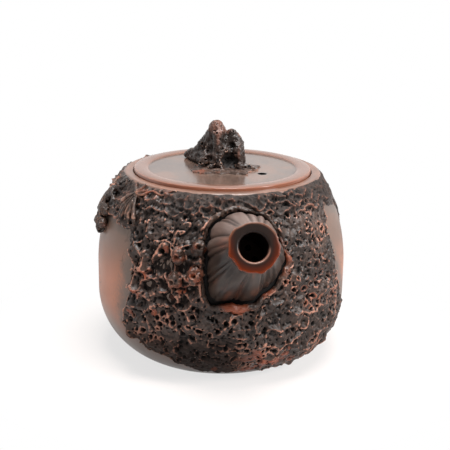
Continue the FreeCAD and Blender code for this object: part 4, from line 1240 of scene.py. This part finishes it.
def rim_clay(grain):
    """Smooth dark clay of the rim."""
    material, nodes, cloud = new_clay("rim_clay", grain)
    clay = nodes.mix(nodes.step(cloud["Broad"], 0.35, 0.65), "#634a3f", "#785647")
    finish_clay(nodes, clay, 0.3, 0.5, cloud["Fine"], 0.1, 0.2)
    return material


def lid_clay(grain):
    """Satin grey-brown clay with a warmer border and painted shade round the air hole."""
    material, nodes, cloud = new_clay("lid_clay", grain)
    disc = nodes.mix(nodes.step(cloud["Stir"], -0.3, 0.3), "#423530", "#645349")
    disc = nodes.mix(nodes.step(cloud["Broad"], 0.5, 0.66, 0.0, 0.22), disc, "#7a4a36")
    clay = nodes.mix("border", disc, "#6c4d40")
    clay = nodes.mix(nodes.times("edge", 0.45), clay, "#8c4a2b")
    flat = nodes.vector("MULTIPLY", nodes.place(), (1, 1, 0)).outputs[0]
    away = nodes.vector("DISTANCE", flat, (*(VENT * MM), 0)).outputs["Value"]
    # Painted shade on a ring round the air hole
    clay = nodes.mix(nodes.step(away, 2.1 * MM, 1.75 * MM), clay, SHADE)
    roughness = nodes.step(cloud["Broad"], 0.3, 0.7, 0.15, 0.22)
    finish_clay(nodes, clay, roughness, 0.8, cloud["Fine"], 0.1, 0.2)
    return material


def spout_clay(grain):
    """Satin dark clay with a painted highlight that makes it paler above, painted shade in the grooves, at
    the sunk end and in the bore, a painted highlight on the bore's lower brim, rust touches on the flutes and
    a rusty tip.
    """
    material, nodes, cloud = new_clay("spout_clay", grain)
    body = nodes.mix(nodes.step(cloud["Broad"], 0.4, 0.62), "#221b18", "#332a25")
    # Painted highlight: the top of the spout and the tops of its pale streaks are lighter, their undersides
    # darker
    body = nodes.mix("under", "#66554e", body)
    pale = nodes.times(nodes.step("streak", 0.45, 0.9), 0.35)
    body = nodes.mix(pale, body, nodes.mix("under", "#84736b", "#463a34"))
    body = nodes.mix(nodes.times("rusty", 0.7), body, "#7c4a36")
    # Painted shade in the grooves between the flutes
    body = nodes.mix(nodes.times("groove", 0.7), body, "#1d1613")
    # Painted shade at the sunk end by the wall
    body = nodes.mix("deep", body, SHADE)
    tip = nodes.mix("under", "#1c1411", nodes.mix("outward", "#1a110e", "#401505"))
    tip = nodes.mix("hem", tip, nodes.mix("under", "#6e4634", "#62260d"))
    # Painted highlight on the bore's lower brim
    tip = nodes.mix("brim", tip, "#7a5648")
    # Painted shade inside the bore
    clay = nodes.mix("bore", nodes.mix("tip", body, tip), "#0c0807")
    roughness = nodes.step("deep", 0.0, 1.0, 0.3, 0.9)
    finish_clay(nodes, clay, roughness, 0.2, cloud["Fine"], 0.1, 0.2)
    return material


def inner_clay(grain):
    """Plain unworn clay of the pieces inside."""
    material, nodes, cloud = new_clay("inner_clay", grain)
    finish_clay(nodes, nodes.mix(cloud["Broad"], "#5c4036", "#7a5140"), 0.6, 0.5, cloud["Fine"], 0.2, 0.2)
    return material


# Light, floor and camera


def camera():
    """Camera at the photograph's place: above the spout, a little to the left of it."""
    azimuth, lift, distance = math.radians(CAMERA_AZIMUTH), math.radians(13.3), 0.391
    pitch, yaw, roll = math.radians(-16.35), math.radians(0.2), math.radians(0.9)
    focal_pixels, frame_pixels, sensor = 1045.0, 450.0, 36.0
    middle = Vector((0, 0, RIM_HEIGHT * MM))
    way = Vector((math.sin(azimuth) * math.cos(lift), -math.cos(azimuth) * math.cos(lift), math.sin(lift)))
    lens = bpy.data.cameras.new("photo_camera")
    lens.sensor_width = sensor
    lens.lens = sensor * focal_pixels / frame_pixels
    lens.clip_start = 0.01
    heading = Matrix.Rotation(azimuth - yaw, 4, "Z")
    tilt = Matrix.Rotation(math.pi / 2 + pitch, 4, "X")
    twist = Matrix.Rotation(roll, 4, "Z")
    holder = shown("photo_camera", lens)
    holder.matrix_world = Matrix.Translation(middle + way * distance) @ heading @ tilt @ twist
    bpy.context.scene.camera = holder


def softbox(name, place, target_height, size, power):
    """A round soft lamp turned to a height on the pot's middle line."""
    lamp = bpy.data.lights.new(name, "AREA")
    lamp.shape = "DISK"
    lamp.size = size
    lamp.energy = power
    holder = shown(name, lamp)
    holder.location = place
    aim = Vector((0, 0, target_height)) - Vector(place)
    holder.rotation_euler = aim.to_track_quat("-Z", "Y").to_euler()


def studio_floor():
    """Pale floor that turns to plain white away from the pot."""
    bm = bmesh.new()
    bmesh.ops.create_circle(bm, cap_ends=True, radius=4.0, segments=96)
    mesh = mesh_from(bm, "studio_floor")
    material = bpy.data.materials.new("studio_floor")
    material.use_nodes = True
    nodes = Nodes(material.node_tree)
    shader = nodes.tree.nodes["Principled BSDF"]
    shader.inputs["Base Color"].default_value = (0.8, 0.69, 0.64, 1)
    shader.inputs["Roughness"].default_value = 0.9
    _, seen = nodes.seen_rays()
    away = nodes.vector("LENGTH", nodes.place()).outputs["Value"]
    share = nodes.times(seen, nodes.step(away, 0.035, 0.1, 0.7, 1.0))
    white = nodes.add("Emission", {"Color": (1, 1, 1, 1), "Strength": 1.0})
    blend = nodes.add("MixShader", {0: share, 1: shader.outputs[0], 2: white.outputs[0]})
    nodes.put(nodes.tree.nodes["Material Output"].inputs["Surface"], blend.outputs[0])
    mesh.materials.append(material)
    floor = shown("studio_floor", mesh)


def studio_sky():
    """White surroundings, darker on the camera's side where gloss shows them, and a faint light."""
    world = bpy.data.worlds.new("studio")
    world.use_nodes = True
    nodes = Nodes(world.node_tree)
    background = nodes.tree.nodes["Background"].inputs
    background["Color"].default_value = (1, 1, 1, 1)
    rays, seen = nodes.seen_rays()
    way = nodes.add("SeparateXYZ", {0: nodes.add("TexCoord").outputs["Generated"]}).outputs["Y"]
    backdrop = nodes.largest(nodes.step(way, -0.3, 0.35, 0.08, 1.0), rays["Is Camera Ray"])
    faint = nodes.step(seen, 0.0, 1.0, 0.15, 0.0)
    nodes.put(background["Strength"], nodes.maths("ADD", nodes.times(seen, backdrop), faint))
    bpy.context.scene.world = world


def main():
    """Dresses every node of the frame and sets the stage."""
    grain = clay_grain()
    bark = worn_clay("bark_clay", grain, "#241a15", "#4a3931", "#a0715e", "#86452c")
    rust = worn_clay("rust_clay", grain, "#2d211b", "#46362e", "#94705f", "#84432a")
    stem = worn_clay("stem_clay", grain, "#231a16", "#382a24", "#92705f", "#6b473a")
    inner = inner_clay(grain)

    body_wall(bare_clay(grain))
    mouth_ring(rim_clay(grain))
    for name, start, cell, node in (
        ("bark_front_left", -90, 0.33, "bark_front"),
        ("bark_front_right", 0, 0.33, "bark_front"),
        ("bark_back_right", 90, 0.4, "bark_back"),
        ("bark_back_left", -180, 0.4, "bark_back"),
    ):
        bark_quarter(name, start, cell, bark, node)
    lip(rust)
    spout(spout_clay(grain))
    burls(rust)
    branch(rust)
    front_twigs = [(-64, 67.8), (-55, 68.4), (-67, 63.0), (-54.5, 63.8), (-52, 66.8), (-34, 67.6)]
    for node, azimuth, height, leans, length, twigs in (
        ("pine_needles_front", -57.5, 65.0, (-24, -8, 9, 25, 42, 59), 11.0, front_twigs),
        ("pine_needles_side", -88, 62.5, (-12, 2, 16, 30, 44), 13.0, [(-94, 65.5)]),
        ("pine_needles_back", -120, 62.5, (-36, -18, 0, 18, 36, 54), 14.0, [(-124, 66), (-114, 65)]),
    ):
        needle_fan(node, azimuth, height, leans, length, twigs, rust)
    handle(bark)
    lid_plate(lid_clay(grain))
    knob_skirt(bark)
    knob(stem)
    for name in ("base_disc", "spout_strainer", "lid_flange"):
        frame["nodes"][name].data.materials.clear()
        frame["nodes"][name].data.materials.append(inner)

    camera()
    studio_floor()
    studio_sky()
    softbox("top_softbox", (0.05, -0.1, 0.65), 0.03, 0.45, 8.0)
    softbox("left_softbox", (-0.65, -0.3, 0.55), 0.04, 0.4, 1.0)
    softbox("right_softbox", (0.6, -0.45, 0.5), 0.04, 0.35, 6.4)


main()
bpy.context.scene.view_settings.view_transform = "Standard"
